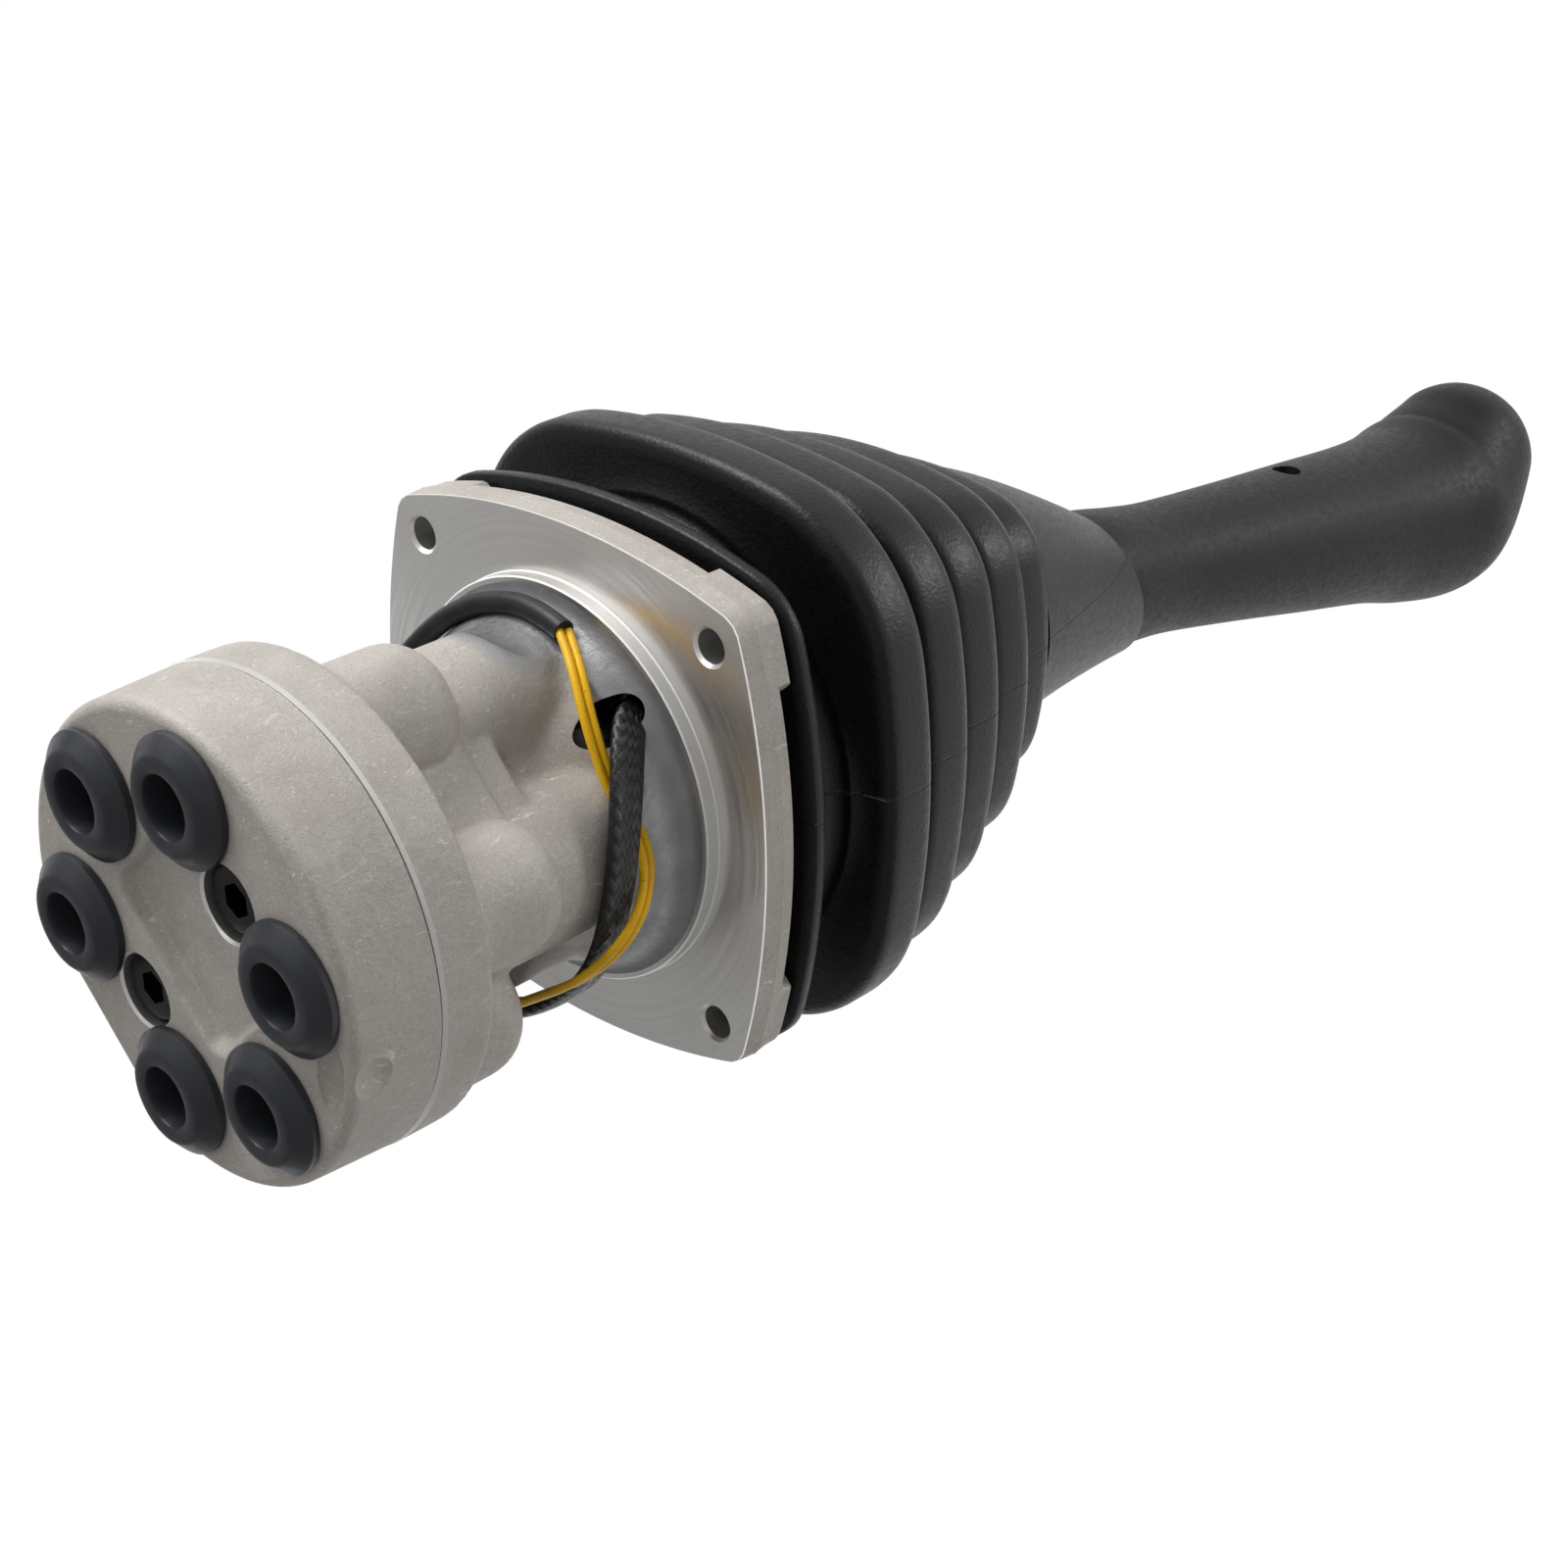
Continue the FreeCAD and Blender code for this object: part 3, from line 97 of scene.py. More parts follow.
class Surface:
    """Node tree of one finish, with short calls for the nodes that finishes share."""

    def __init__(self, name: str, colour: Triple, roughness: float, metallic: float = 0.0,
                 **fixed: float) -> None:
        """Starts a finish.

        Args:
            name: Name of the material.
            colour: Display colour, 0 to 255.
            roughness: Roughness all over.
            metallic: Share of metal.
            **fixed: Other sockets of the shader, with spaces written as underscores.
        """
        self.material = bpy.data.materials.new(name)
        self.material.use_nodes = True
        self.tree = self.material.node_tree
        self.shader = self.tree.nodes["Principled BSDF"]
        self.colour = linear(*colour)
        self.put("Base Color", self.colour)
        self.put("Roughness", roughness)
        self.put("Metallic", metallic)
        for key, value in fixed.items():
            self.put(key.replace("_", " "), value)
        self.coords = self.tree.nodes.new("ShaderNodeTexCoord")
        self.place = self.coords.outputs["Object"]
        self.normal: Socket | None = None

    def put(self, name: str, value: object) -> None:
        """Sets a socket of the shader, or links it when the value is a socket."""
        if isinstance(value, Socket):
            self.tree.links.new(value, self.shader.inputs[name])
        else:
            self.shader.inputs[name].default_value = value

    def node(self, kind: str, inputs: dict[str | int, object], **settings: object) -> bpy.types.Node:
        """Adds a node.

        Args:
            kind: Node type after "ShaderNode".
            inputs: Values or sockets for its inputs, by name or number.
            **settings: Properties of the node.

        Returns:
            The node.
        """
        added = self.tree.nodes.new("ShaderNode" + kind)
        for key, value in settings.items():
            setattr(added, key, value)
        for key, value in inputs.items():
            if isinstance(value, Socket):
                self.tree.links.new(value, added.inputs[key])
            else:
                added.inputs[key].default_value = value
        return added

    def noise(self, size: float, detail: float = 3.0, rough: float = 0.5, bend: float = 0.0,
              stretch: Triple = (1.0, 1.0, 1.0)) -> Socket:
        """Noise with features of about a size in millimetres."""
        vector = self.place
        if stretch != (1.0, 1.0, 1.0):
            vector = self.node("Mapping", {"Vector": vector, "Scale": stretch}).outputs[0]
        inputs = {"Vector": vector, "Scale": 1 / (size * MM), "Detail": detail, "Roughness": rough,
                  "Distortion": bend}
        return self.node("TexNoise", inputs).outputs["Fac"]

    def cells(self, size: float) -> Socket:
        """Soft cell pattern with cells of about a size in millimetres."""
        inputs = {"Vector": self.place, "Scale": 1 / (size * MM)}
        return self.node("TexVoronoi", inputs, feature="SMOOTH_F1").outputs["Distance"]

    def span(self, value: Socket, low: float, high: float, start: float = 0.0, end: float = 1.0) -> Socket:
        """Value between low and high as start to end, held outside them."""
        inputs = {"Value": value, "From Min": low, "From Max": high, "To Min": start, "To Max": end}
        return self.node("MapRange", inputs).outputs["Result"]

    def maths(self, operation: str, first: object, second: object = 0.0) -> Socket:
        """Result of one arithmetic step."""
        return self.node("Math", {0: first, 1: second}, operation=operation).outputs[0]

    def parts(self, vector: Socket) -> bpy.types.bpy_prop_collection:
        """The three numbers of a vector."""
        return self.node("SeparateXYZ", {0: vector}).outputs

    def distance(self, first: object, second: object) -> Socket:
        """Length across two sides at a right angle to each other."""
        squares = [self.maths("POWER", side, 2.0) for side in (first, second)]
        return self.maths("SQRT", self.maths("ADD", *squares))

    def tint(self, share: Socket, colour: Triple) -> None:
        """Lays a display colour over the base colour where share is one."""
        links = self.shader.inputs["Base Color"].links
        under = links[0].from_socket if links else self.colour
        mixed = self.node("Mix", {0: share, 6: under, 7: linear(*colour)}, data_type="RGBA")
        self.put("Base Color", mixed.outputs[2])

    def patches(self, colour: Triple, share: float, low: float, high: float, *pattern: object) -> None:
        """Tints where a noise rises past a level.

        Args:
            colour: Display colour of the patches.
            share: How much of the colour a full patch shows.
            low: Noise level at which a patch starts.
            high: Noise level at which it is full.
            *pattern: What the noise takes.
        """
        self.tint(self.span(self.noise(*pattern), low, high, 0.0, share), colour)

    def uneven(self, size: float, detail: float, low: float, high: float) -> None:
        """Lets the roughness drift between two levels."""
        self.put("Roughness", self.span(self.noise(size, detail), 0.3, 0.7, low, high))

    def relief(self, height: Socket, depth: float) -> None:
        """Adds a bump of a depth in millimetres over any bump before it."""
        inputs: dict[str | int, object] = {"Height": height, "Distance": depth * MM, "Strength": 1.0}
        if self.normal is not None:
            inputs["Normal"] = self.normal
        self.normal = self.node("Bump", inputs).outputs["Normal"]
        self.put("Normal", self.normal)


@dataclass(frozen=True)
class CastMetal:
    """Blasted aluminium casting: fine grain, stains, small bright scuffs, and a cove tinted darker grey that is
    partly its smoother, more metallic finish and partly painted shade in the recess under the plate.
    """

    name: str = "cast_aluminium"
    colour: Triple = (186, 180, 173)
    scuff: Triple = (232, 226, 218)
    marks: tuple[tuple, ...] = (
        ((158, 151, 144), 0.6, 0.42, 0.72, 17.0, 5.0, 0.62),
        ((198, 193, 187), 0.35, 0.5, 0.75, 5.0, 4.0, 0.6),
        ((132, 127, 121), 0.45, 0.5, 0.76, 0.7, 3.0, 0.7),
        (scuff, 0.55, 0.62, 0.72, 0.55, 2.0, 0.6),
        (scuff, 0.75, 0.61, 0.67, 3.2, 6.0, 0.75, 1.8, (1.0, 1.0, 0.3)))
    # Darker cove grey: partly the cove's own smoother finish, partly painted shade in the recess under the
    # plate.
    cove: Triple = (134, 135, 138)
    cove_blotch: Triple = (172, 173, 176)
    cove_shade_share: float = 0.92
    cove_ring: Pair = (40.7, -12.9)
    cove_squeeze: float = 9.8 / 6.0
    cove_reach: Pair = (10.2, 14.0)
    metallic: Pair = (0.12, 0.6)
    roughness: Pair = (0.48, 0.66)
    cove_polish: float = 0.16
    grain: float = 0.5
    depth: float = 0.16

    def cove_mask(self, made: Surface) -> Socket:
        """One in the oval cove that runs round under the plate, zero elsewhere."""
        split = made.parts(made.place)
        reach = made.distance(split[0], split[1])
        inward = made.maths("SUBTRACT", reach, self.cove_ring[0] * MM)
        along = made.maths("SUBTRACT", split[2], self.cove_ring[1] * MM)
        away = made.distance(made.maths("MULTIPLY", inward, self.cove_squeeze), along)
        return made.span(away, self.cove_reach[0] * MM, self.cove_reach[1] * MM, 1.0, 0.0)

    def make(self) -> bpy.types.Material:
        """Material of the casting."""
        made = Surface(self.name, self.colour, 0.55, self.metallic[0])
        for mark in self.marks:
            made.patches(*mark)
        inside = self.cove_mask(made)
        # Painted shade: the cove's recess under the plate is tinted darker grey, along with its more metallic,
        # smoother finish.
        made.tint(made.maths("MULTIPLY", inside, self.cove_shade_share), self.cove)
        blotch = made.span(made.noise(8.0, 3.0), 0.4, 0.7, 0.0, 0.35)
        made.tint(made.maths("MULTIPLY", inside, blotch), self.cove_blotch)
        made.put("Metallic", made.span(inside, 0.0, 1.0, *self.metallic))
        rough = made.span(made.noise(1.2, 4.0), 0.3, 0.7, *self.roughness)
        polish = made.maths("MULTIPLY", inside, self.cove_polish)
        made.put("Roughness", made.maths("SUBTRACT", rough, polish))
        fade = made.span(inside, 0.0, 1.0, 1.0, 0.4)
        made.relief(made.maths("MULTIPLY", made.noise(self.grain, 3.0, 0.65), fade), self.depth)
        made.relief(made.noise(2.6, 3.0), 0.12)
        return made.material


@dataclass(frozen=True)
class TurnedMetal:
    """Lathe-turned aluminium: very fine rings about the Z axis and a radial sheen."""

    name: str = "turned_aluminium"
    colour: Triple = (236, 235, 232)
    fine_rings: float = 6000.0
    wide_rings: float = 700.0
    depth: float = 0.0025

    @staticmethod
    def rings(made: Surface, reach: Socket, scale: float) -> Socket:
        """Noise along the radius alone, with a number of rings to the metre."""
        inputs = {"W": made.maths("MULTIPLY", reach, scale), "Scale": 1.0, "Detail": 3.0}
        return made.node("TexNoise", inputs, noise_dimensions="1D").outputs["Fac"]

    def make(self) -> bpy.types.Material:
        """Material of the turned faces."""
        made = Surface(self.name, self.colour, 0.36, 0.9, Anisotropic=0.8)
        made.put("Tangent", made.node("Tangent", {}, direction_type="RADIAL", axis="Z").outputs[0])
        split = made.parts(made.place)
        reach = made.distance(split[0], split[1])
        wide = self.rings(made, reach, self.wide_rings)
        made.tint(made.span(wide, 0.42, 0.62, 0.0, 0.16), (204, 203, 201))
        made.patches((212, 207, 199), 0.35, 0.45, 0.7, 26.0, 3.0)
        made.patches((240, 239, 236), 0.4, 0.66, 0.72, 2.2, 5.0, 0.7, 1.0)
        made.put("Roughness", made.span(wide, 0.3, 0.7, 0.3, 0.42))
        made.relief(self.rings(made, reach, self.fine_rings), self.depth)
        return made.material


@dataclass(frozen=True)
class PlainMetal:
    """Machined or coated metal with fine marks."""

    name: str
    colour: Triple
    roughness: float = 0.32
    metallic: float = 1.0
    marks: float = 0.6

    def make(self) -> bpy.types.Material:
        """Material of the metal."""
        made = Surface(self.name, self.colour, self.roughness, self.metallic)
        darker = tuple(0.75 * value for value in self.colour)
        made.patches(darker, 0.5, 0.45, 0.75, 4.0, 4.0, 0.6)
        made.uneven(self.marks, 3.0, 0.8 * self.roughness, 1.25 * self.roughness)
        made.relief(made.noise(self.marks, 2.0, 0.5, 0.0, (1.0, 1.0, 0.2)), 0.006)
        return made.material


@dataclass(frozen=True)
class Rubber:
    """Moulded rubber or plastic, matt or grained, with a mould line where parting has an angle."""

    name: str
    colour: Triple
    roughness: float = 0.5
    grain: float = 0.9
    depth: float = 0.05
    bloom: Triple = (70, 72, 76)
    bloom_share: float = 0.25
    gloss: float = 0.3
    parting: float = 0.0

    def make(self) -> bpy.types.Material:
        """Material of the rubber."""
        made = Surface(self.name, self.colour, self.roughness, 0.0, Specular_IOR_Level=self.gloss)
        made.patches(self.bloom, self.bloom_share, 0.45, 0.8, 9.0, 5.0, 0.6)
        if self.parting:
            split = made.parts(made.place)
            lean = math.radians(self.parting)
            off = made.maths("SUBTRACT", made.maths("MULTIPLY", split[1], math.cos(lean)),
                             made.maths("MULTIPLY", split[0], math.sin(lean)))
            made.relief(made.span(made.maths("ABSOLUTE", off), 0.1 * MM, 0.35 * MM), 0.4)
        made.uneven(1.5, 3.0, 0.85 * self.roughness, 1.15 * self.roughness)
        made.relief(made.cells(self.grain), self.depth)
        made.relief(made.noise(0.35 * self.grain, 2.0), 0.4 * self.depth)
        return made.material


@dataclass(frozen=True)
class Insulation:
    """Glossy coloured wire insulation with specks of old print."""

    name: str = "wire_insulation"
    colour: Triple = (243, 190, 14)

    def make(self) -> bpy.types.Material:
        """Material of the insulation."""
        made = Surface(self.name, self.colour, 0.4, 0.0, Specular_IOR_Level=0.35)
        made.patches((224, 164, 8), 0.5, 0.45, 0.7, 5.0, 3.0)
        made.patches((92, 60, 10), 0.8, 0.69, 0.73, 0.8, 2.0, 0.5, 0.6)
        made.relief(made.noise(1.4, 2.0), 0.02)
        return made.material


@dataclass(frozen=True)
class Braid:
    """Black plait of glossy flat yarns, laid out on the sleeve's own length and girth."""

    name: str = "braided_sleeve"
    colour: Triple = (13, 13, 14)
    # Painted highlight: the crown of each yarn is lighter, and the gaps between yarns are left darker as
    # painted shade.
    crown: Triple = (28, 28, 29)
    # Painted glints: colour of small bright specks on the yarn crowns.
    painted_glint_colour: Triple = (58, 58, 58)
    pitch: float = 3.0
    strands: float = 9.0

    def make(self) -> bpy.types.Material:
        """Material of the braid."""
        made = Surface(self.name, self.colour, 0.34, 0.0, Specular_IOR_Level=0.45)
        split = made.parts(made.coords.outputs["UV"])
        length = made.maths("DIVIDE", split[0], self.pitch * MM)
        girth = made.maths("MULTIPLY", split[1], self.strands)
        ways = [made.maths(turn, length, girth) for turn in ("ADD", "SUBTRACT")]
        first, second = (made.maths("PINGPONG", way, 0.5) for way in ways)
        crossings = made.maths("ADD", *(made.maths("FLOOR", way) for way in ways))
        over = made.maths("GREATER_THAN", made.maths("FLOORED_MODULO", crossings, 2.0), 0.5)
        weave = made.node("Mix", {0: over, 2: first, 3: second}, data_type="FLOAT").outputs[0]
        # Painted highlight along each yarn's crown, with painted shade between the yarns.
        made.tint(made.span(weave, 0.3, 0.5, 0.0, 0.5), self.crown)
        # Painted glints: small bright specks kept to the yarn crowns.
        painted_glint_mask = made.span(made.noise(0.5, 2.0, 0.7), 0.62, 0.7, 0.0, 0.9)
        made.tint(made.maths("MULTIPLY", painted_glint_mask, made.span(weave, 0.2, 0.45)), self.painted_glint_colour)
        made.uneven(0.8, 3.0, 0.24, 0.5)
        made.relief(made.maths("POWER", weave, 0.6), 0.35)
        made.relief(made.noise(0.3, 2.0), 0.08)
        return made.material


class Bench:
    """Modelling steps that the pieces share. Sizes are in millimetres."""

    WELD = 1e-6

    @staticmethod
    def clear() -> None:
        """Deselects everything."""
        bpy.ops.object.select_all(action="DESELECT")

    @staticmethod
    def open_mesh() -> None:
        """Opens the active object's mesh with all of it selected."""
        bpy.ops.object.mode_set(mode="EDIT")
        bpy.ops.mesh.select_all(action="SELECT")

    @staticmethod
    def pick(*pieces: Object) -> None:
        """Selects pieces, the first of them active."""
        Bench.clear()
        for piece in pieces:
            piece.select_set(True)
        bpy.context.view_layer.objects.active = pieces[0]

    @staticmethod
    def settled(name: str) -> Object:
        """Names the active object and puts its place into its mesh."""
        piece = bpy.context.object
        piece.name = name
        piece.data.name = name
        Bench.pick(piece)
        bpy.ops.object.transform_apply(location=True, rotation=True, scale=True)
        return piece

    @staticmethod
    def modify(piece: Object, kind: str, **settings: object) -> None:
        """Adds a modifier and applies it."""
        Bench.pick(piece)
        added = piece.modifiers.new(kind.title(), kind)
        for key, value in settings.items():
            setattr(added, key, value)
        bpy.ops.object.modifier_apply(modifier=added.name)

    @staticmethod
    def cylinder(name: str, radius: float, low: float, high: float, place: Pair = (0, 0),
                 count: int = 96) -> Object:
        """Upright cylinder between two heights."""
        Bench.clear()
        middle = Vector((*place, (low + high) / 2)) * MM
        bpy.ops.mesh.primitive_cylinder_add(vertices=count, radius=radius * MM, depth=(high - low) * MM,
                                            location=middle)
        return Bench.settled(name)

    @staticmethod
    def block(name: str, low: Triple, high: Triple, turn: float = 0.0) -> Object:
        """Box between two corners, then turned about the Z axis by degrees."""
        Bench.clear()
        centre = [(a + b) / 2 * MM for a, b in zip(low, high)]
        bpy.ops.mesh.primitive_cube_add(size=1.0, location=centre)
        bpy.context.object.scale = [(b - a) * MM for a, b in zip(low, high)]
        piece = Bench.settled(name)
        piece.rotation_euler = (0, 0, math.radians(turn))
        return Bench.settled(name)

    @staticmethod
    def skin(name: str, rings: np.ndarray, caps: tuple[bool, bool] = (True, True)) -> Object:
        """Skin through rings of points, made of one circle that is extruded once a ring.

        Args:
            name: Name of the piece.
            rings: Points in millimetres, as rings by points by three. Rings have a
                multiple of four points, and start towards +X.
            caps: Whether the first and the last ring are closed with a face.

        Returns:
            The piece, with its faces outwards.
        """
        count = rings.shape[1]
        Bench.clear()
        bpy.ops.mesh.primitive_circle_add(vertices=count, radius=1.0)
        piece = bpy.context.object
        Bench.open_mesh()
        if caps[0]:
            bpy.ops.mesh.edge_face_add()
        for _ in range(len(rings) - 1):
            bpy.ops.mesh.extrude_edges_move(TRANSFORM_OT_translate={"value": (0, 0, 1)})
        if caps[1]:
            bpy.ops.mesh.edge_face_add()
        bpy.ops.object.mode_set(mode="OBJECT")
        points = np.zeros(len(piece.data.vertices) * 3)
        piece.data.vertices.foreach_get("co", points)
        points = points.reshape(-1, 3)
        ring = np.rint(points[:, 2]).astype(int)
        step = np.rint(np.arctan2(points[:, 1], points[:, 0]) / (2 * math.pi / count)).astype(int) % count
        piece.data.vertices.foreach_set("co", (rings[ring, step] * MM).ravel())
        piece.data.update()
        Bench.open_mesh()
        bpy.ops.mesh.remove_doubles(threshold=Bench.WELD)
        bpy.ops.mesh.normals_make_consistent(inside=False)
        bpy.ops.object.mode_set(mode="OBJECT")
        return Bench.settled(name)

    @staticmethod
    def turned(name: str, profile: Sequence[Pair], place: Pair = (0, 0), count: int = 96) -> Object:
        """Round piece about an upright axis, from radius and height pairs."""
        rings = [ring(np.full(count, radius), z, place) for radius, z in profile]
        closed = tuple(profile[0]) == tuple(profile[-1])
        caps = [not closed and end[0] > 0 for end in (profile[0], profile[-1])]
        return Bench.skin(name, np.array(rings), (caps[0], caps[1]))

    @staticmethod
    def joined(name: str, pieces: Sequence[Object]) -> Object:
        """Several pieces as one object."""
        Bench.pick(*pieces)
        if len(pieces) > 1:
            bpy.ops.object.join()
        return Bench.settled(name)

    @staticmethod
    def combine(piece: Object, tool: Object, operation: str = "DIFFERENCE") -> None:
        """Cuts a tool from a piece, or unites them, and removes the tool."""
        Bench.modify(piece, "BOOLEAN", object=tool, operation=operation, solver="EXACT")
        bpy.data.objects.remove(tool)

    @staticmethod
    def softened(piece: Object, voxel: float, rounds: int, share: float = 0.5) -> None:
        """Melts overlapping shells into one skin and smooths its edges."""
        Bench.modify(piece, "REMESH", mode="VOXEL", voxel_size=voxel * MM)
        Bench.modify(piece, "SMOOTH", factor=share, iterations=rounds)

    @staticmethod
    def smooth(piece: Object, degrees: float = 35.0) -> None:
        """Shades a piece smoothly, with edges sharper than an angle left crisp."""
        Bench.pick(piece)
        bpy.ops.object.shade_smooth_by_angle(angle=math.radians(degrees))

    @staticmethod
    def flattened(piece: Object) -> None:
        """Lets large flat faces keep their own normals beside rounded edges."""
        Bench.modify(piece, "WEIGHTED_NORMAL", keep_sharp=True)

    @staticmethod
    def copy(piece: Object, name: str, move: Triple = (0, 0, 0)) -> Object:
        """A copy with its own mesh, moved."""
        made = piece.copy()
        made.data = piece.data.copy()
        made.name = made.data.name = name
        bpy.context.scene.collection.objects.link(made)
        made.data.transform(Matrix.Translation(Vector(move) * MM))
        return made

    @staticmethod
    def dress(piece: Object, material: bpy.types.Material, slot: str, nodes: Iterable[str] = (),
              body: Body | None = Body.VALVE) -> Object:
        """Gives a piece its finish, the nodes that it stands for and the body that it rides on."""
        piece.data.materials.clear()
        piece.data.materials.append(material)
        if nodes:
            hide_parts(*nodes)
        if body is not None:
            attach(piece, body.value)
        LOG.info("piece %s: %d faces", piece.name, len(getattr(piece.data, "polygons", ())))
        return piece


def polar(radius: float, degrees: float) -> Pair:
    """Point in millimetres at a radius and an angle round the Z axis."""
    turn = math.radians(degrees)
    return radius * math.cos(turn), radius * math.sin(turn)


def angles(count: int) -> np.ndarray:
    """Equal steps round a turn, in radians."""
    return np.arange(count) * 2 * math.pi / count


def bowed(half: float, side: float, corner: float, turn: np.ndarray) -> np.ndarray:
    """Radii of a square with bowed sides and round corners.

    Args:
        half: Half the width across the middles of the sides.
        side: Radius of a side's arc.
        corner: Radius of a corner's arc.
        turn: Angles at which the radius is wanted.

    Returns:
        The radius at each angle.
    """
    rise = side - half
    reach = side - corner
    offset = (math.sqrt(max(2 * reach ** 2 - rise ** 2, 0.0)) - rise) / 2
    if reach < 1e-6:
        return np.full(len(turn), half)
    join = np.array([offset, offset]) + np.array([offset, offset + rise]) / reach * corner
    folded = np.abs((turn + math.pi / 4) % (math.pi / 2) - math.pi / 4)
    flat = np.abs(folded)
    limit = math.atan2(join[0], join[1])
    on_side = -rise * np.cos(flat) + np.sqrt(np.maximum(side ** 2 - (rise * np.sin(flat)) ** 2, 0))
    away = math.pi / 4 - flat
    span = math.sqrt(2) * offset
    on_corner = span * np.cos(away) + np.sqrt(np.maximum(corner ** 2 - (span * np.sin(away)) ** 2, 0))
    return np.where(flat < limit, on_side, on_corner)


def ring(radii: np.ndarray, z: float, centre: Pair = (0.0, 0.0), tilt: float = 0.0) -> np.ndarray:
    """Ring of points from radii at equal steps, leaned about the X direction by degrees."""
    turn = angles(len(radii))
    lean = math.radians(tilt)
    across = radii * np.sin(turn)
    return np.stack([centre[0] + radii * np.cos(turn), centre[1] + across * math.cos(lean),
                     z + across * math.sin(lean)], 1)


def eased(keys: np.ndarray, steps: int) -> np.ndarray:
    """Rows of numbers joined by a smooth curve through each row.

    Args:
        keys: Rows to pass through.
        steps: Steps between two rows.

    Returns:
        The rows with the steps between them.
    """
    padded = np.vstack([2 * keys[0] - keys[1], keys, 2 * keys[-1] - keys[-2]])
    rows = []
    for index in range(len(keys) - 1):
        a, b, c, d = padded[index:index + 4]
        for step in range(steps):
            t = step / steps
            rows.append(0.5 * (2 * b + (c - a) * t + (2 * a - 5 * b + 4 * c - d) * t ** 2
                               + (3 * b - a - 3 * c + d) * t ** 3))
    rows.append(keys[-1])
    return np.array(rows)


@dataclass
class Studio:
    """Floor, light and the camera at the photograph's angle."""

    eye: Triple = (-0.3518, 0.2400, -0.3104)
    right: Triple = (-0.7281, -0.0032, 0.6855)
    up: Triple = (0.3131, 0.8880, 0.3368)
    back: Triple = (-0.6098, 0.4598, -0.6455)
    lens: float = 61.4
    floor_height: float = -0.55
    middle: Triple = (0.0, -0.01, 0.11)
    lamps: tuple[tuple[str, Triple, float, float, float], ...] = (
        ("key", (-0.6, 1.0, 0.35), 1.3, 0.7, 14.5),
        ("fill", (-1.1, 0.2, 0.55), 1.5, 0.7, 19.0),
        ("side", (1.0, 0.5, 0.15), 1.4, 0.4, 6.0))
    world_level: float = 0.2

    @property
    def turn(self) -> Matrix:
        """The camera's turn, whose columns are its right, its up and its back."""
        return Matrix((self.right, self.up, self.back)).transposed()

    def camera(self) -> None:
        """Adds the camera."""
        data = bpy.data.cameras.new("camera")
        data.lens = self.lens
        data.sensor_width = 36.0
        data.sensor_fit = "HORIZONTAL"
        data.clip_start = 0.01
        camera = bpy.data.objects.new("camera", data)
        camera.matrix_world = Matrix.Translation(self.eye) @ self.turn.to_4x4()
        bpy.context.scene.collection.objects.link(camera)
        bpy.context.scene.camera = camera

    def lamp(self, name: str, shares: Triple, distance: float, size: float, power: float) -> None:
        """Adds a soft square lamp that looks at the object's middle.

        Args:
            name: Name of the lamp.
            shares: Its direction, as shares of the camera's right, up and back.
            distance: Metres from the object's middle.
            size: Width in metres.
            power: Power in watts.
        """
        toward = self.turn @ Vector(shares)
        data = bpy.data.lights.new(name, "AREA")
        data.size = size
        data.energy = power
        lamp = bpy.data.objects.new(name, data)
        lamp.location = Vector(self.middle) + toward.normalized() * distance
        lamp.rotation_euler = toward.to_track_quat("Z", "Y").to_euler()
        bpy.context.scene.collection.objects.link(lamp)

    def light(self) -> None:
        """Adds three soft lamps and a white world of a plain level."""
        for lamp in self.lamps:
            self.lamp(*lamp)
        world = bpy.data.worlds.new("studio")
        world.use_nodes = True
        tree = world.node_tree
        shown = tree.nodes["Background"]
        shown.inputs["Color"].default_value = (1, 1, 1, 1)
        lit = tree.nodes.new("ShaderNodeBackground")
        lit.inputs["Color"].default_value = (1, 1, 1, 1)
        lit.inputs["Strength"].default_value = self.world_level
        path = tree.nodes.new("ShaderNodeLightPath")
        direct = path.outputs["Is Camera Ray"]
        for kind in ("Is Glossy Ray", "Is Transmission Ray"):
            either = tree.nodes.new("ShaderNodeMath")
            either.operation = "MAXIMUM"
            tree.links.new(direct, either.inputs[0])
            tree.links.new(path.outputs[kind], either.inputs[1])
            direct = either.outputs[0]
        mixed = tree.nodes.new("ShaderNodeMixShader")
        tree.links.new(direct, mixed.inputs[0])
        tree.links.new(lit.outputs[0], mixed.inputs[1])
        tree.links.new(shown.outputs[0], mixed.inputs[2])
        tree.links.new(mixed.outputs[0], tree.nodes["World Output"].inputs["Surface"])
        bpy.context.scene.world = world

    def floor(self) -> None:
        """Adds the plain pale floor."""
        Bench.clear()
        bpy.ops.mesh.primitive_plane_add(size=6.0, location=(0, 0, self.floor_height))
        piece = Bench.settled("floor")
        made = Surface("floor", (236, 236, 236), 0.85)
        made.relief(made.noise(3.0, 2.0), 0.05)
        piece.data.materials.append(made.material)


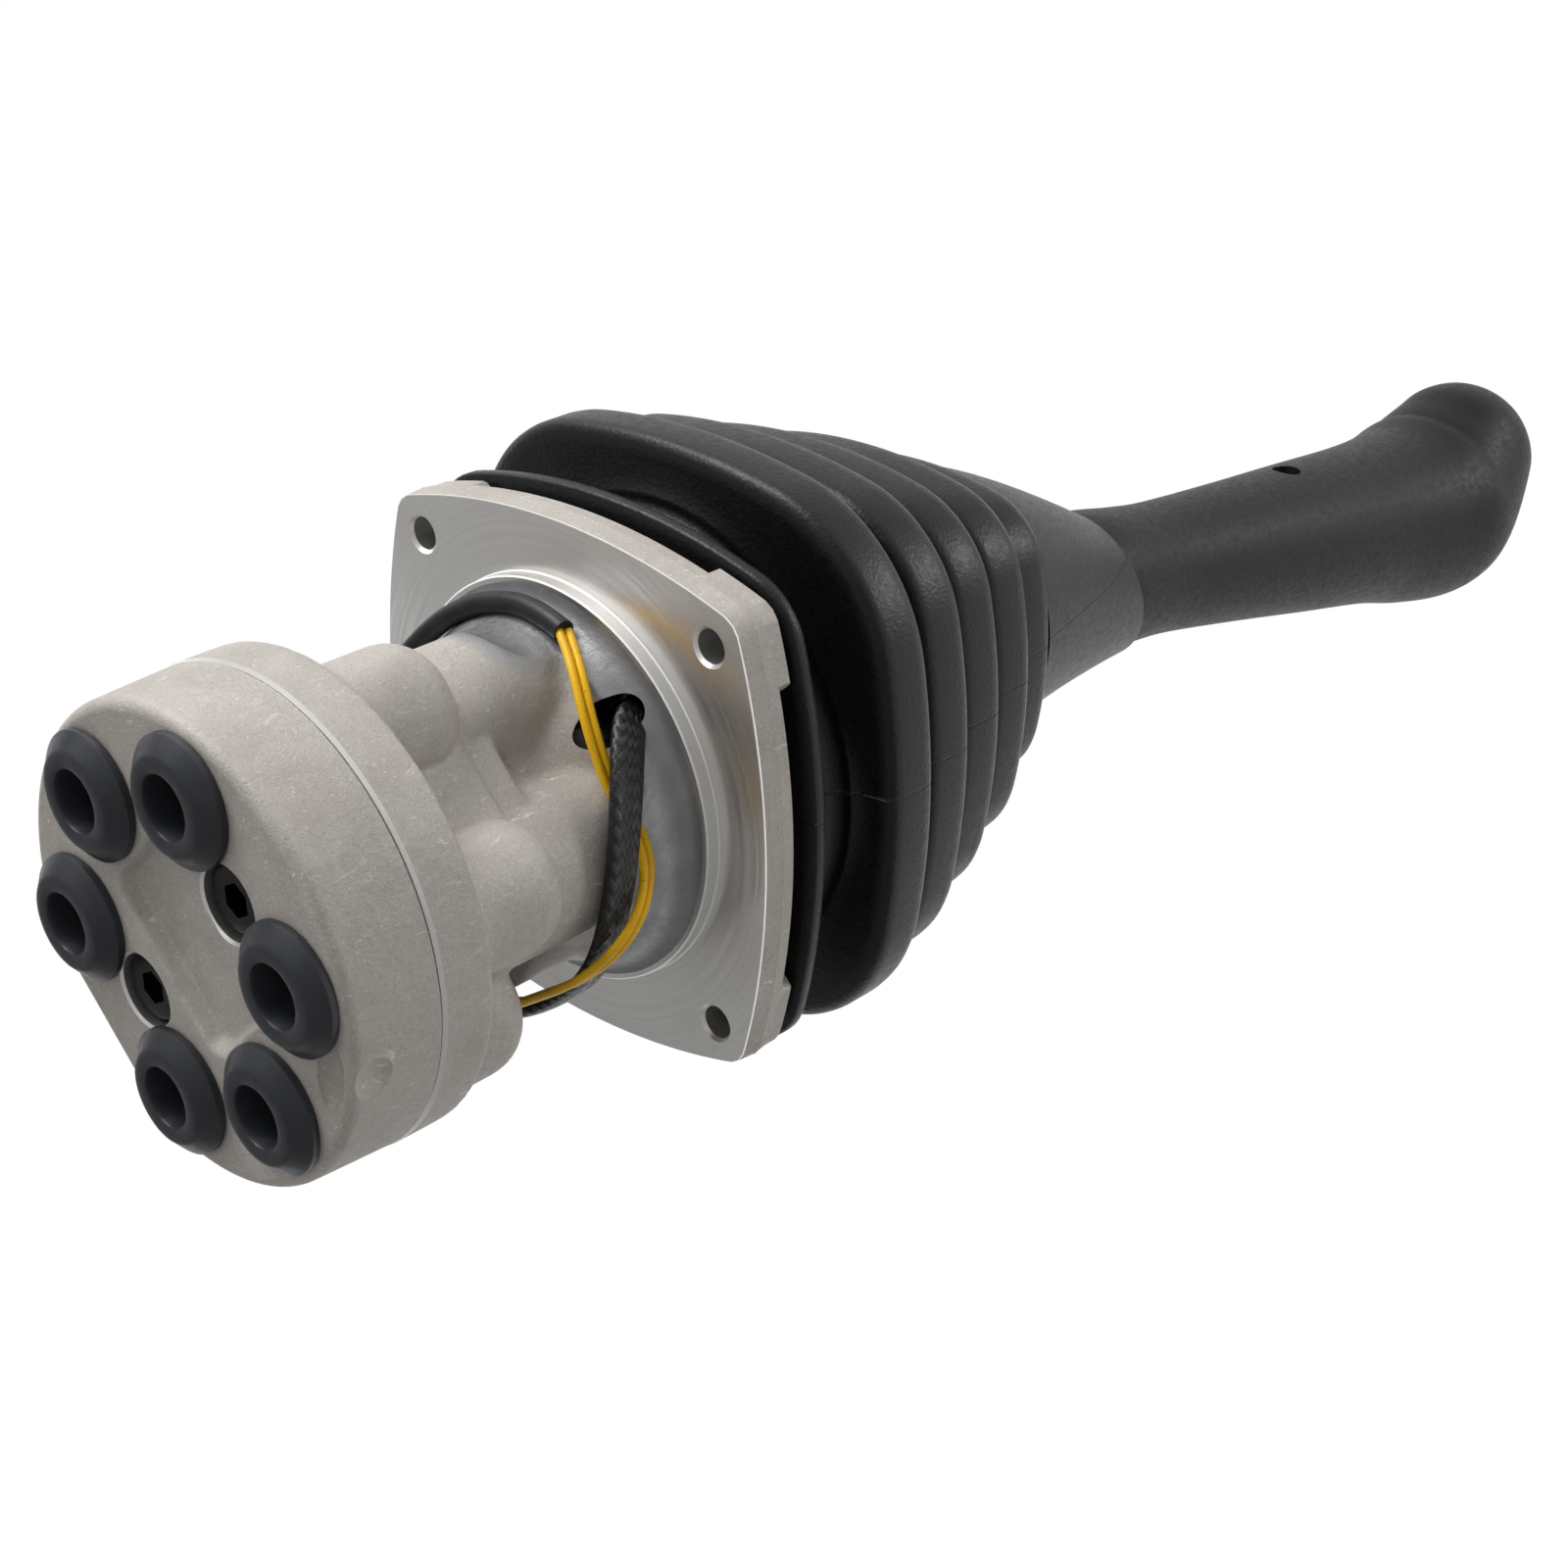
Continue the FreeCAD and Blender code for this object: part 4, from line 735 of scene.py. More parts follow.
@dataclass
class Lead:
    """Sleeved two-wire lead, wound round the neck with its wires pulled back under it."""

    sleeve_route: tuple[Triple, ...] = (
        (135.0, 33.2, 8.0), (135.3, 33.5, -1.0), (138.5, 34.8, -7.2), (146, 37.4, -12.4),
        (157, 38.9, -17.6), (167, 39.4, -20.8), (177.8, 39.3, -22.9), (189, 39.1, -24.2),
        (203, 38.6, -24.2), (219, 38.1, -23.6), (235, 38.0, -23.4), (249, 38.8, -25.0),
        (262, 39.6, -26.0), (276, 39.9, -26.2), (294, 39.6, -26.2), (314, 39.4, -26.0))
    tube_route: tuple[Triple, ...] = (
        (314, 39.4, -26.0), (336, 39.4, -24.0), (358, 39.6, -19.5), (19, 39.2, -14.2),
        (39, 38.4, -10.0), (58, 38.2, -7.8), (76, 38.2, -6.7), (92, 38.2, -6.6), (105, 38.0, -7.9))
    wire_route: tuple[Triple, ...] = (
        (105, 38.0, -7.9), (113, 37.6, -10.4), (122, 36.9, -13.2), (133, 35.6, -15.7), (145, 34.3, -16.7),
        (156, 34.2, -16.6), (166, 35.6, -15.2), (175.5, 38.2, -14.9), (183.5, 41.2, -18.2),
        (190, 43.2, -22.8), (197, 42.8, -27.4), (206, 40.4, -30.0), (216, 37.7, -30.9),
        (227, 36.0, -30.2), (240, 35.8, -30.0), (252, 37.0, -30.4), (264, 38.6, -30.8), (277, 39.0, -30.9),
        (292, 38.8, -30.8))
    sleeve_width: float = 7.2
    sleeve_thickness: float = 3.2
    tube_radius: float = 2.2
    wire_radius: float = 0.85
    wire_spread: float = 0.9
    sleeve_oval: float = 0.8
    sleeve_count: int = 32

    @staticmethod
    def points(route: Sequence[Triple]) -> list[Triple]:
        """Route's points in metres."""
        return [(*(MM * c for c in polar(radius, turn)), MM * z) for turn, radius, z in route]

    @staticmethod
    def beside(route: Sequence[Triple], offset: float) -> list[Triple]:
        """Route moved sideways along the neck's surface, square to its own direction."""
        moved = []
        for index, (turn, radius, z) in enumerate(route):
            before = route[max(index - 1, 0)]
            after = route[min(index + 1, len(route) - 1)]
            arc = math.radians(after[0] - before[0]) * radius
            rise = after[2] - before[2]
            length = math.hypot(arc, rise)
            back = math.degrees(offset * rise / length / radius)
            moved.append((turn - back, radius, z + offset * arc / length))
        return moved

    def flat_sleeve(self, line: Object) -> tuple[Object, np.ndarray]:
        """Flat tube along a line, its width on the neck's surface, with its length and girth as its UV map.

        Args:
            line: Curve without a bevel.

        Returns:
            The sleeve, and the points in metres that it follows.
        """
        path = bpy.data.meshes.new_from_object(line)
        points = np.array([vertex.co[:] for vertex in path.vertices])
        ahead = np.gradient(points, axis=0)
        ahead /= np.linalg.norm(ahead, axis=1)[:, None]
        out = points * np.array([1.0, 1.0, 0.0])
        out -= ahead * np.sum(out * ahead, axis=1)[:, None]
        out /= np.linalg.norm(out, axis=1)[:, None]
        side = np.cross(ahead, out)
        turn = angles(self.sleeve_count)
        wide, thick = (np.sign(part) * np.abs(part) ** self.sleeve_oval * size / 2 for part, size in
                       ((np.cos(turn), self.sleeve_width), (np.sin(turn), self.sleeve_thickness)))
        rings = points[:, None, :] / MM + wide[None, :, None] * side[:, None, :]
        rings += thick[None, :, None] * out[:, None, :]
        piece = Bench.skin("sleeve_braid", rings)
        self.lay_out(piece, points, out, side)
        Bench.smooth(piece, 60)
        return piece, points

    @staticmethod
    def lay_out(piece: Object, points: np.ndarray, out: np.ndarray, side: np.ndarray) -> None:
        """Gives a flat tube its length in metres and its share of the girth as its UV map.

        Args:
            piece: The tube.
            points: Points in metres that it follows.
            out: Direction away from the neck at each point.
            side: Direction across the tube at each point.
        """
        steps = np.linalg.norm(np.diff(points, axis=0), axis=1)
        length = np.concatenate([[0.0], np.cumsum(steps)])
        layer = piece.data.uv_layers.active
        for face in piece.data.polygons:
            near = [int(np.argmin(np.linalg.norm(points - np.array(piece.data.vertices[v].co), axis=1)))
                    for v in face.vertices]
            spokes = []
            for vertex, index in zip(face.vertices, near):
                away = np.array(piece.data.vertices[vertex].co) - points[index]
                spokes.append(math.atan2(away @ out[index], away @ side[index]) / (2 * math.pi) % 1.0)
            crossing = max(spokes) - min(spokes) > 0.5
            for loop, index, spoke in zip(face.loop_indices, near, spokes):
                layer.data[loop].uv = (length[index], spoke + 1.0 if crossing and spoke < 0.5 else spoke)

    @staticmethod
    def line(name: str, points: Sequence[Triple], radius: float) -> Object:
        """Round cord on a smooth line that the points control."""
        curve = bpy.data.curves.new(name, "CURVE")
        curve.dimensions = "3D"
        spline = curve.splines.new("NURBS")
        spline.points.add(len(points) - 1)
        for target, point in zip(spline.points, points):
            target.co = (*point, 1.0)
        spline.order_u = 3
        spline.use_endpoint_u = True
        spline.use_smooth = True
        curve.resolution_u = 16
        curve.bevel_depth = radius * MM
        curve.bevel_resolution = 8
        curve.use_fill_caps = True
        piece = bpy.data.objects.new(name, curve)
        bpy.context.scene.collection.objects.link(piece)
        return piece

    def build(self) -> None:
        """Makes the sleeve, the heat-shrink tube and the two wires."""
        sleeve_points = self.points(self.sleeve_route)
        line = self.line("sleeve_line", sleeve_points, 0.0)
        sleeve, followed = self.flat_sleeve(line)
        bpy.data.objects.remove(line)
        Bench.dress(sleeve, Braid().make(), "braided_sleeve", ["lead_sleeve"])
        tube_points = self.points(self.tube_route)
        tube = self.line("shrink_tube", tube_points, self.tube_radius)
        rubber = Rubber("shrink_tube", (30, 30, 33), 0.42, 1.4, 0.02)
        Bench.dress(tube, rubber.make(), "shrink_tube", ["lead_shrink_tube"])
        yellow = Insulation().make()
        for number, offset in ((1, self.wire_spread), (2, -self.wire_spread)):
            points = self.points(self.beside(self.wire_route, offset))
            wire = self.line(f"wire_{number}", points, self.wire_radius)
            Bench.dress(wire, yellow, "wire_insulation", [f"lead_wire_{number}"])


@dataclass
class Casing:
    """Cast casing with its mounting plate, spigot, cove, lobes, gallery bosses and flange."""

    plate_half: float = 53.8
    plate_side: float = 152.0
    plate_corner: float = 5.5
    plate_thickness: float = 8.0
    plate_draft: float = 0.4
    flash_height: float = 4.5
    pad_height: float = 3.0
    pad_radius: float = 12.5
    hole_pitch: float = 80.0
    hole_radius: float = 3.4
    hole_chamfer: float = 0.7
    spigot_radius: float = 41.9
    spigot_height: float = 3.1
    spigot_land: float = 1.2
    cove_radius: float = 9.8
    cove_bite: float = 6.0
    collar_radius: float = 43.0
    collar_height: float = 8.0
    core_radius: float = 25.0
    lobe_radius: float = 15.5
    rod_circle: float = 21.0
    flange_radius: float = 47.0
    flange_top: float = -60.0
    flange_bottom: float = -71.4
    flange_edge: float = 0.45
    boss_circle: float = 32.0
    boss_round: float = 9.5
    bosses: tuple[Triple, ...] = ((45, 12.4, -39.0), (225, 12.4, -39.0), (100, 12.6, -36.0),
                                  (-10, 12.6, -36.0), (280, 12.6, -36.0), (170, 12.6, -36.0))
    web_distance: float = 28.2
    # Lowest height of the lead's hole cut, and of its walls that are painted dark as shade.
    lead_hole_low: float = -30.0
    web_width: float = 30.0
    web_top: float = -31.0
    ledges: tuple[Triple, ...] = ((28.9, -38.4, -31.6), (29.8, -64.0, -38.4))
    ledge_half: float = 13.4
    growth: float = 0.35
    shell_low: float = -80.0
    shell_top: float = -4.0
    blend_rounds: Pair = (14, 4)
    bore_radius: float = 8.84
    bore_floor: float = -56.0
    lead_circle: float = 33.3
    lead_radius: float = 4.4
    lead_angle: float = 135.5
    voxel: float = 0.7
    fine_voxel: float = 0.62
    count: int = 192

    @property
    def land(self) -> float:
        """Inner radius of the spigot's flat edge."""
        return self.spigot_radius - self.spigot_land

    @property
    def cove_z(self) -> float:
        """Height of the cove's centre."""
        return -self.spigot_height - self.cove_radius

    def outline(self, half: float) -> np.ndarray:
        """Radii of the plate's outline at a half width."""
        return bowed(half, self.plate_side, self.plate_corner, angles(self.count))

    def round_ring(self, radius: float, z: float) -> np.ndarray:
        """Round ring with as many points as the plate's outline."""
        return ring(np.full(self.count, radius), z)

    def lead_tool(self, low: float, high: float) -> Object:
        """Cutter for the hole that the lead leaves by."""
        place = polar(self.lead_circle, self.lead_angle)
        return Bench.cylinder("lead_tool", self.lead_radius, low, high, place, 64)

    def bores(self, low: float, high: float) -> Object:
        """The four bush bores as one cutter."""
        return Bench.joined("bores", [Bench.cylinder(f"bore_{a}", self.bore_radius, low, high,
                                                     polar(self.rod_circle, a), 64) for a in QUARTERS])

    def shells(self) -> list[Object]:
        """Overlapping plain shells that the casting is melted from, all longer than it at both ends."""
        grow, base, top = self.growth, self.shell_low, self.shell_top
        shells = [Bench.cylinder("core", self.core_radius, base, top)]
        shells += [Bench.cylinder(f"lobe_{a}", self.lobe_radius + grow, base, top, polar(self.rod_circle, a))
                   for a in QUARTERS]
        edge, low = self.spigot_radius - 0.4, self.cove_z - 18
        neck = [(0, 4), (edge, 4), (edge, -self.spigot_height - 2),
                (self.land - self.cove_radius, self.cove_z), (20, low), (0, low)]
        shells.append(Bench.turned("neck", neck))
        arc = np.radians(np.arange(0, 90, 10))
        for number, (angle, radius, height) in enumerate(self.bosses):
            dome = [((radius + grow) * math.cos(a) ** 0.8, height - self.boss_round * (1 - math.sin(a)))
                    for a in arc]
            profile = [(radius + grow, base)] + dome + [(0, height)]
            shells.append(Bench.turned(f"boss_{number}", profile, polar(self.boss_circle, angle)))
        half = self.web_width / 2
        shells += [Bench.block(f"web_{angle}", (0, -half, base), (self.web_distance, half, self.web_top), angle)
                   for angle in DIAGONALS]
        shells.append(Bench.cylinder("flange", self.flange_radius + 0.2, base, self.flange_top, count=160))
        return shells

    def casting(self) -> Object:
        """Cast body below the spigot, all of its corners softly blended."""
        body = Bench.joined("casing_casting", self.shells())
        Bench.softened(body, self.voxel, self.blend_rounds[0])
        oval = [(self.land + self.cove_bite * math.cos(a), self.cove_z + self.cove_radius * math.sin(a))
                for a in angles(64)]
        Bench.combine(body, Bench.turned("cove_tool", oval + oval[:1], count=self.count))
        for distance, low, high in self.ledges:
            for angle in DIAGONALS:
                ledge = Bench.block(f"ledge_{angle}", (self.web_distance - 3, -self.ledge_half, low),
                                    (distance, self.ledge_half, high), angle)
                Bench.modify(ledge, "BEVEL", width=0.6 * MM, segments=2)
                Bench.combine(body, ledge, "UNION")
        Bench.softened(body, self.fine_voxel, self.blend_rounds[1])
        for low, high in ((-90, self.flange_bottom), (-self.spigot_height + 0.8, 20)):
            Bench.combine(body, Bench.block("trim", (-60, -60, low), (60, 60, high)))
        rim, low, edge = self.flange_radius, self.flange_bottom, self.flange_edge
        chamfer = [(rim - edge, low - 1), (rim - edge, low), (rim + 1, low + edge + 1),
                   (rim + 4, low + edge + 1), (rim + 4, low - 1)]
        Bench.combine(body, Bench.turned("edge_tool", chamfer + chamfer[:1], count=160))
        Bench.combine(body, self.bores(self.bore_floor, 20))
        Bench.combine(body, self.lead_tool(self.lead_hole_low, 20))
        Bench.smooth(body, 40)
        return body

    def corners(self) -> list[Pair]:
        """Places of the four mounting holes."""
        pitch = self.hole_pitch / 2
        return [(x, y) for x in (-pitch, pitch) for y in (-pitch, pitch)]

    def plate(self) -> Object:
        """Mounting plate with its spigot, collar, pads and holes."""
        half, thick = self.plate_half, self.plate_thickness
        spigot, height, collar = self.spigot_radius, self.spigot_height, self.collar_radius
        wide, flash = half + self.plate_draft, self.flash_height
        top, pad_top = thick + self.collar_height, thick + self.pad_height
        rings = [self.round_ring(radius, z) for radius, z in (
            (self.land - 0.02, -height), (spigot - 0.3, -height), (spigot, -height + 0.3), (spigot, -0.25),
            (spigot + 0.25, 0))]
        rings += [ring(self.outline(size), z) for size, z in (
            (half - 0.35, 0), (half - 0.1, 0.08), (half, 0.35), (wide - 0.12, flash - 0.4), (wide, flash),
            (wide - 0.12, flash + 0.4), (half, thick - 0.7), (half - 0.25, thick - 0.2), (half - 0.8, thick))]
        rings += [self.round_ring(radius, z) for radius, z in (
            (collar, thick), (collar, top - 0.5), (collar - 0.5, top))]
        body = Bench.skin("casing_plate", np.array(rings))
        pads = Bench.skin("pads", np.array([ring(self.outline(size), z) for size, z in (
            (half - 0.05, thick - 1), (half - 0.05, pad_top - 0.5), (half - 0.5, pad_top))]))
        corners = self.corners()
        rounds = Bench.joined("rounds", [Bench.cylinder(f"pad_{n}", self.pad_radius, thick - 2, thick + 5, c)
                                         for n, c in enumerate(corners)])
        Bench.combine(pads, rounds, "INTERSECT")
        Bench.combine(body, pads, "UNION")
        chamfer, radius = self.hole_chamfer, self.hole_radius
        profile = [(0, -1), (radius + chamfer + 1, -1), (radius + chamfer, 0), (radius, chamfer),
                   (radius, pad_top + 1), (0, pad_top + 1)]
        Bench.combine(body, Bench.joined("drills", [Bench.turned(f"drill_{n}", profile, c, 48)
                                                    for n, c in enumerate(corners)]))
        Bench.combine(body, self.lead_tool(-8, top + 1))
        Bench.combine(body, self.bores(-20, top + 1))
        Bench.smooth(body, 30)
        Bench.flattened(body)
        return body

    def build(self) -> None:
        """Makes the casing and dresses its cast and its machined faces."""
        cast = CastMetal().make()
        turned = TurnedMetal().make()
        body = self.casting()
        Bench.dress(body, cast, "cast_aluminium", ["valve_casing"])
        body.data.materials.append(turned)
        # Painted shade: a dark rubber finish for the walls of the lead's hole, which also stands for the
        # sleeve's black end inside the hole.
        body.data.materials.append(Rubber("lead_hole_shade_and_sleeve_end", (14, 14, 15), 0.3, 0.9, 0.05).make())
        lead = Vector(polar(self.lead_circle, self.lead_angle))
        for face in body.data.polygons:
            # The hole's upright walls above this height get the painted dark shade.
            walls = face.center.z > self.lead_hole_low * MM and abs(face.normal.z) < 0.2
            if walls and (face.center.xy / MM - lead).length < self.lead_radius + 0.05:
                face.material_index = 2
            below = face.center.z / MM < self.flange_bottom + self.flange_edge + 0.4
            if below and 0.3 < -face.normal.z < 0.95 and face.center.xy.length / MM > self.flange_radius - 2:
                face.material_index = 1
        plate = self.plate()
        Bench.dress(plate, cast, "cast_aluminium", ["valve_casing"])
        plate.data.materials.append(turned)
        for face in plate.data.polygons:
            z = face.center.z / MM
            reach = face.center.xy.length / MM
            flat_face = z < 0.3 and face.normal.z < -0.3
            wall = z < 0.1 and reach > self.spigot_radius - 2
            near = min((face.center.xy / MM - Vector(corner)).length for corner in self.corners())
            if flat_face or wall or near < self.hole_radius + 0.9:
                face.material_index = 1


@dataclass
class PortBlock:
    """Cast port block with its ports, counterbores, pocket and rim."""

    radius: float = 47.0
    draft: float = 0.8
    rim: float = 2.3
    joint: float = 0.55
    face: float = -90.5
    parting: float = -71.4
    flat_distance: float = 42.6
    flat_angle: float = 315.0
    port_circle: float = 32.0
    port_radius: float = 7.475
    port_depth: float = 12.0
    port_angles: tuple[float, ...] = (45, 225, 100, -10, 280, 170)
    screw_circle: float = 21.0
    bore_radius: float = 7.25
    bore_depth: float = 9.8
    screw_clearance: float = 4.05
    pocket_half: Pair = (18.5, 11.4)
    pocket_shift: float = 1.5
    pocket_corner: float = 4.0
    pocket_profile: tuple[Pair, ...] = ((-2.4, -1.0), (-1.3, -0.02), (-0.7, 0.1), (-0.3, 0.45), (0.0, 1.0),
                                        (0.6, 2.7), (1.1, 3.25), (1.9, 3.4))
    scoops: tuple[tuple[float, ...], ...] = ((40.6, 192.0, -90.9, 3.6, 7.4, 2.9),
                                             (48.6, 190.5, -86.6, 3.3, 6.4, 6.0))
    count: int = 256

    def outline(self, radius: float, z: float) -> np.ndarray:
        """Round ring with one flat."""
        turn = angles(self.count)
        away = np.cos(turn - math.radians(self.flat_angle))
        flat = self.flat_distance - (self.radius - radius)
        limit = np.where(away > 0.5, flat / np.maximum(away, 0.5), 1e3)
        return ring(np.minimum(radius, limit), z)

    def pocket(self) -> Object:
        """Cutter for the pocket, with its rolled lip and sloped walls."""
        turn = angles(96)
        rings = []
        for shrink, rise in self.pocket_profile:
            corner = self.pocket_corner - 0.4 * shrink
            half_x, half_y = (h - shrink - corner for h in self.pocket_half)
            flat = np.stack([np.sign(np.cos(turn)) * half_x + corner * np.cos(turn),
                             self.pocket_shift + np.sign(np.sin(turn)) * half_y + corner * np.sin(turn)], 1)
            lean = math.radians(45)
            spun = flat @ np.array([[math.cos(lean), math.sin(lean)], [-math.sin(lean), math.cos(lean)]])
            rings.append(np.column_stack([spun, np.full(96, self.face + rise)]))
        return Bench.skin("pocket_tool", np.array(rings))

    @staticmethod
    def scoop(circle: float, angle: float, z: float, *halves: float) -> Object:
        """Oval cutter at a radius, an angle and a height.

        Args:
            circle: Distance of its middle from the Z axis.
            angle: Angle of its middle in degrees.
            z: Height of its middle.
            *halves: Its half sizes outwards, along the rim and up.

        Returns:
            The cutter.
        """
        Bench.clear()
        bpy.ops.mesh.primitive_uv_sphere_add(segments=64, ring_count=32, radius=1.0)
        bpy.context.object.scale = [half * MM for half in halves]
        piece = Bench.settled("scoop_tool")
        piece.rotation_euler = (0, 0, math.radians(angle))
        x, y = polar(circle, angle)
        piece.location = (x * MM, y * MM, z * MM)
        return Bench.settled("scoop_tool")

    def build(self) -> None:
        """Makes the block."""
        rings = []
        for turn in np.radians(np.arange(0, 91, 10)):
            inset, rise = self.rim * (1 - math.sin(turn)), self.rim * (1 - math.cos(turn))
            rings.append(self.outline(self.radius - self.draft - inset, self.face + rise))
        joint = self.joint
        rings += [self.outline(self.radius - inset, self.parting - drop) for inset, drop in (
            (0.05, joint + 0.15), (0.2, joint), (joint, 0.12), (joint + 0.3, 0.0))]
        body = Bench.skin("port_block_casting", np.array(rings))
        Bench.combine(body, self.pocket())
        for scoop in self.scoops:
            Bench.combine(body, self.scoop(*scoop))
        face, port, bore, clear = self.face, self.port_radius, self.bore_radius, self.screw_clearance
        profile = [(0, face - 1), (port + 2, face - 1), (port, face + 1), (port, face + self.port_depth),
                   (0, face + self.port_depth)]
        tools = [Bench.turned(f"port_{number}", profile, polar(self.port_circle, angle), 64)
                 for number, angle in enumerate(self.port_angles)]
        floor, through = face + self.bore_depth, self.parting + 1
        profile = [(0, face - 1), (bore + 1.5, face - 1), (bore, face + 0.5), (bore, floor), (clear, floor),
                   (clear, through), (0, through)]
        tools += [Bench.turned(f"counterbore_{angle}", profile, polar(self.screw_circle, angle), 64)
                  for angle in DIAGONALS]
        Bench.combine(body, Bench.joined("block_tools", tools))
        Bench.smooth(body, 38)
        Bench.flattened(body)
        Bench.dress(body, CastMetal().make(), "cast_aluminium", ["port_block"])
        body.data.materials.append(TurnedMetal("bored_aluminium").make())
        screws = [Vector(polar(self.screw_circle, angle)) for angle in DIAGONALS]
        for polygon in body.data.polygons:
            centre = polygon.center / MM
            near = min((centre.xy - screw).length for screw in screws)
            bored = near < bore + 0.9 and centre.z < face + self.port_depth and polygon.area < 3e-5
            joined = self.parting - joint - 0.05 < centre.z < self.parting - 0.1
            if bored or (joined and centre.xy.length > 40):
                polygon.material_index = 1


@dataclass
class Plugs:
    """Rubber shipping plugs in the six ports."""

    face: float = -90.5
    circle: float = 32.0
    base: float = 12.5
    crown: float = 9.3
    rim: float = 1.6
    height: float = 4.5
    shank: float = 7.425
    bore: float = 6.0
    bore_depth: float = 13.0
    length: float = 10.5
    places: tuple[tuple[str, float, str], ...] = (
        ("plug_pressure", 45, "pressure_port_plug"), ("plug_tank", 225, "tank_port_plug"),
        ("plug_service_1", 100, "service_port_plugs"), ("plug_service_2", -10, "service_port_plugs"),
        ("plug_service_3", 280, "service_port_plugs"), ("plug_service_4", 170, "service_port_plugs"))

    def build(self) -> None:
        """Makes one plug and copies it to each port."""
        base, crown, bore, shank, face = self.base, self.crown, self.bore, self.shank, self.face
        nose, rim, tip = face - self.height, face - self.rim, face + self.length
        floor = nose + self.bore_depth
        profile = [(0, floor), (bore - 0.6, floor), (bore, floor - 0.6), (bore, nose + 0.7),
                   (bore + 0.2, nose + 0.2), (bore + 0.7, nose), (crown - 0.5, nose + 0.05),
                   (crown, nose + 0.2), (crown + 0.4, nose + 0.55), (base - 0.35, rim - 0.3),
                   (base - 0.05, rim + 0.05), (base, rim + 0.4), (base, face - 0.35), (base - 0.3, face - 0.03),
                   (shank, face - 0.03), (shank, tip - 1), (shank - 1, tip), (0, tip)]
        first = Bench.turned("plug", profile, (0, 0), 96)
        Bench.smooth(first, 30)
        rubber = Rubber("plug_rubber", (40, 42, 47), 0.42, 0.8, 0.012, (66, 69, 75), 0.35, 0.4).make()
        for name, angle, node in self.places:
            x, y = polar(self.circle, angle)
            Bench.dress(Bench.copy(first, name, (x, y, 0)), rubber, "plug_rubber", [node])
        bpy.data.objects.remove(first)


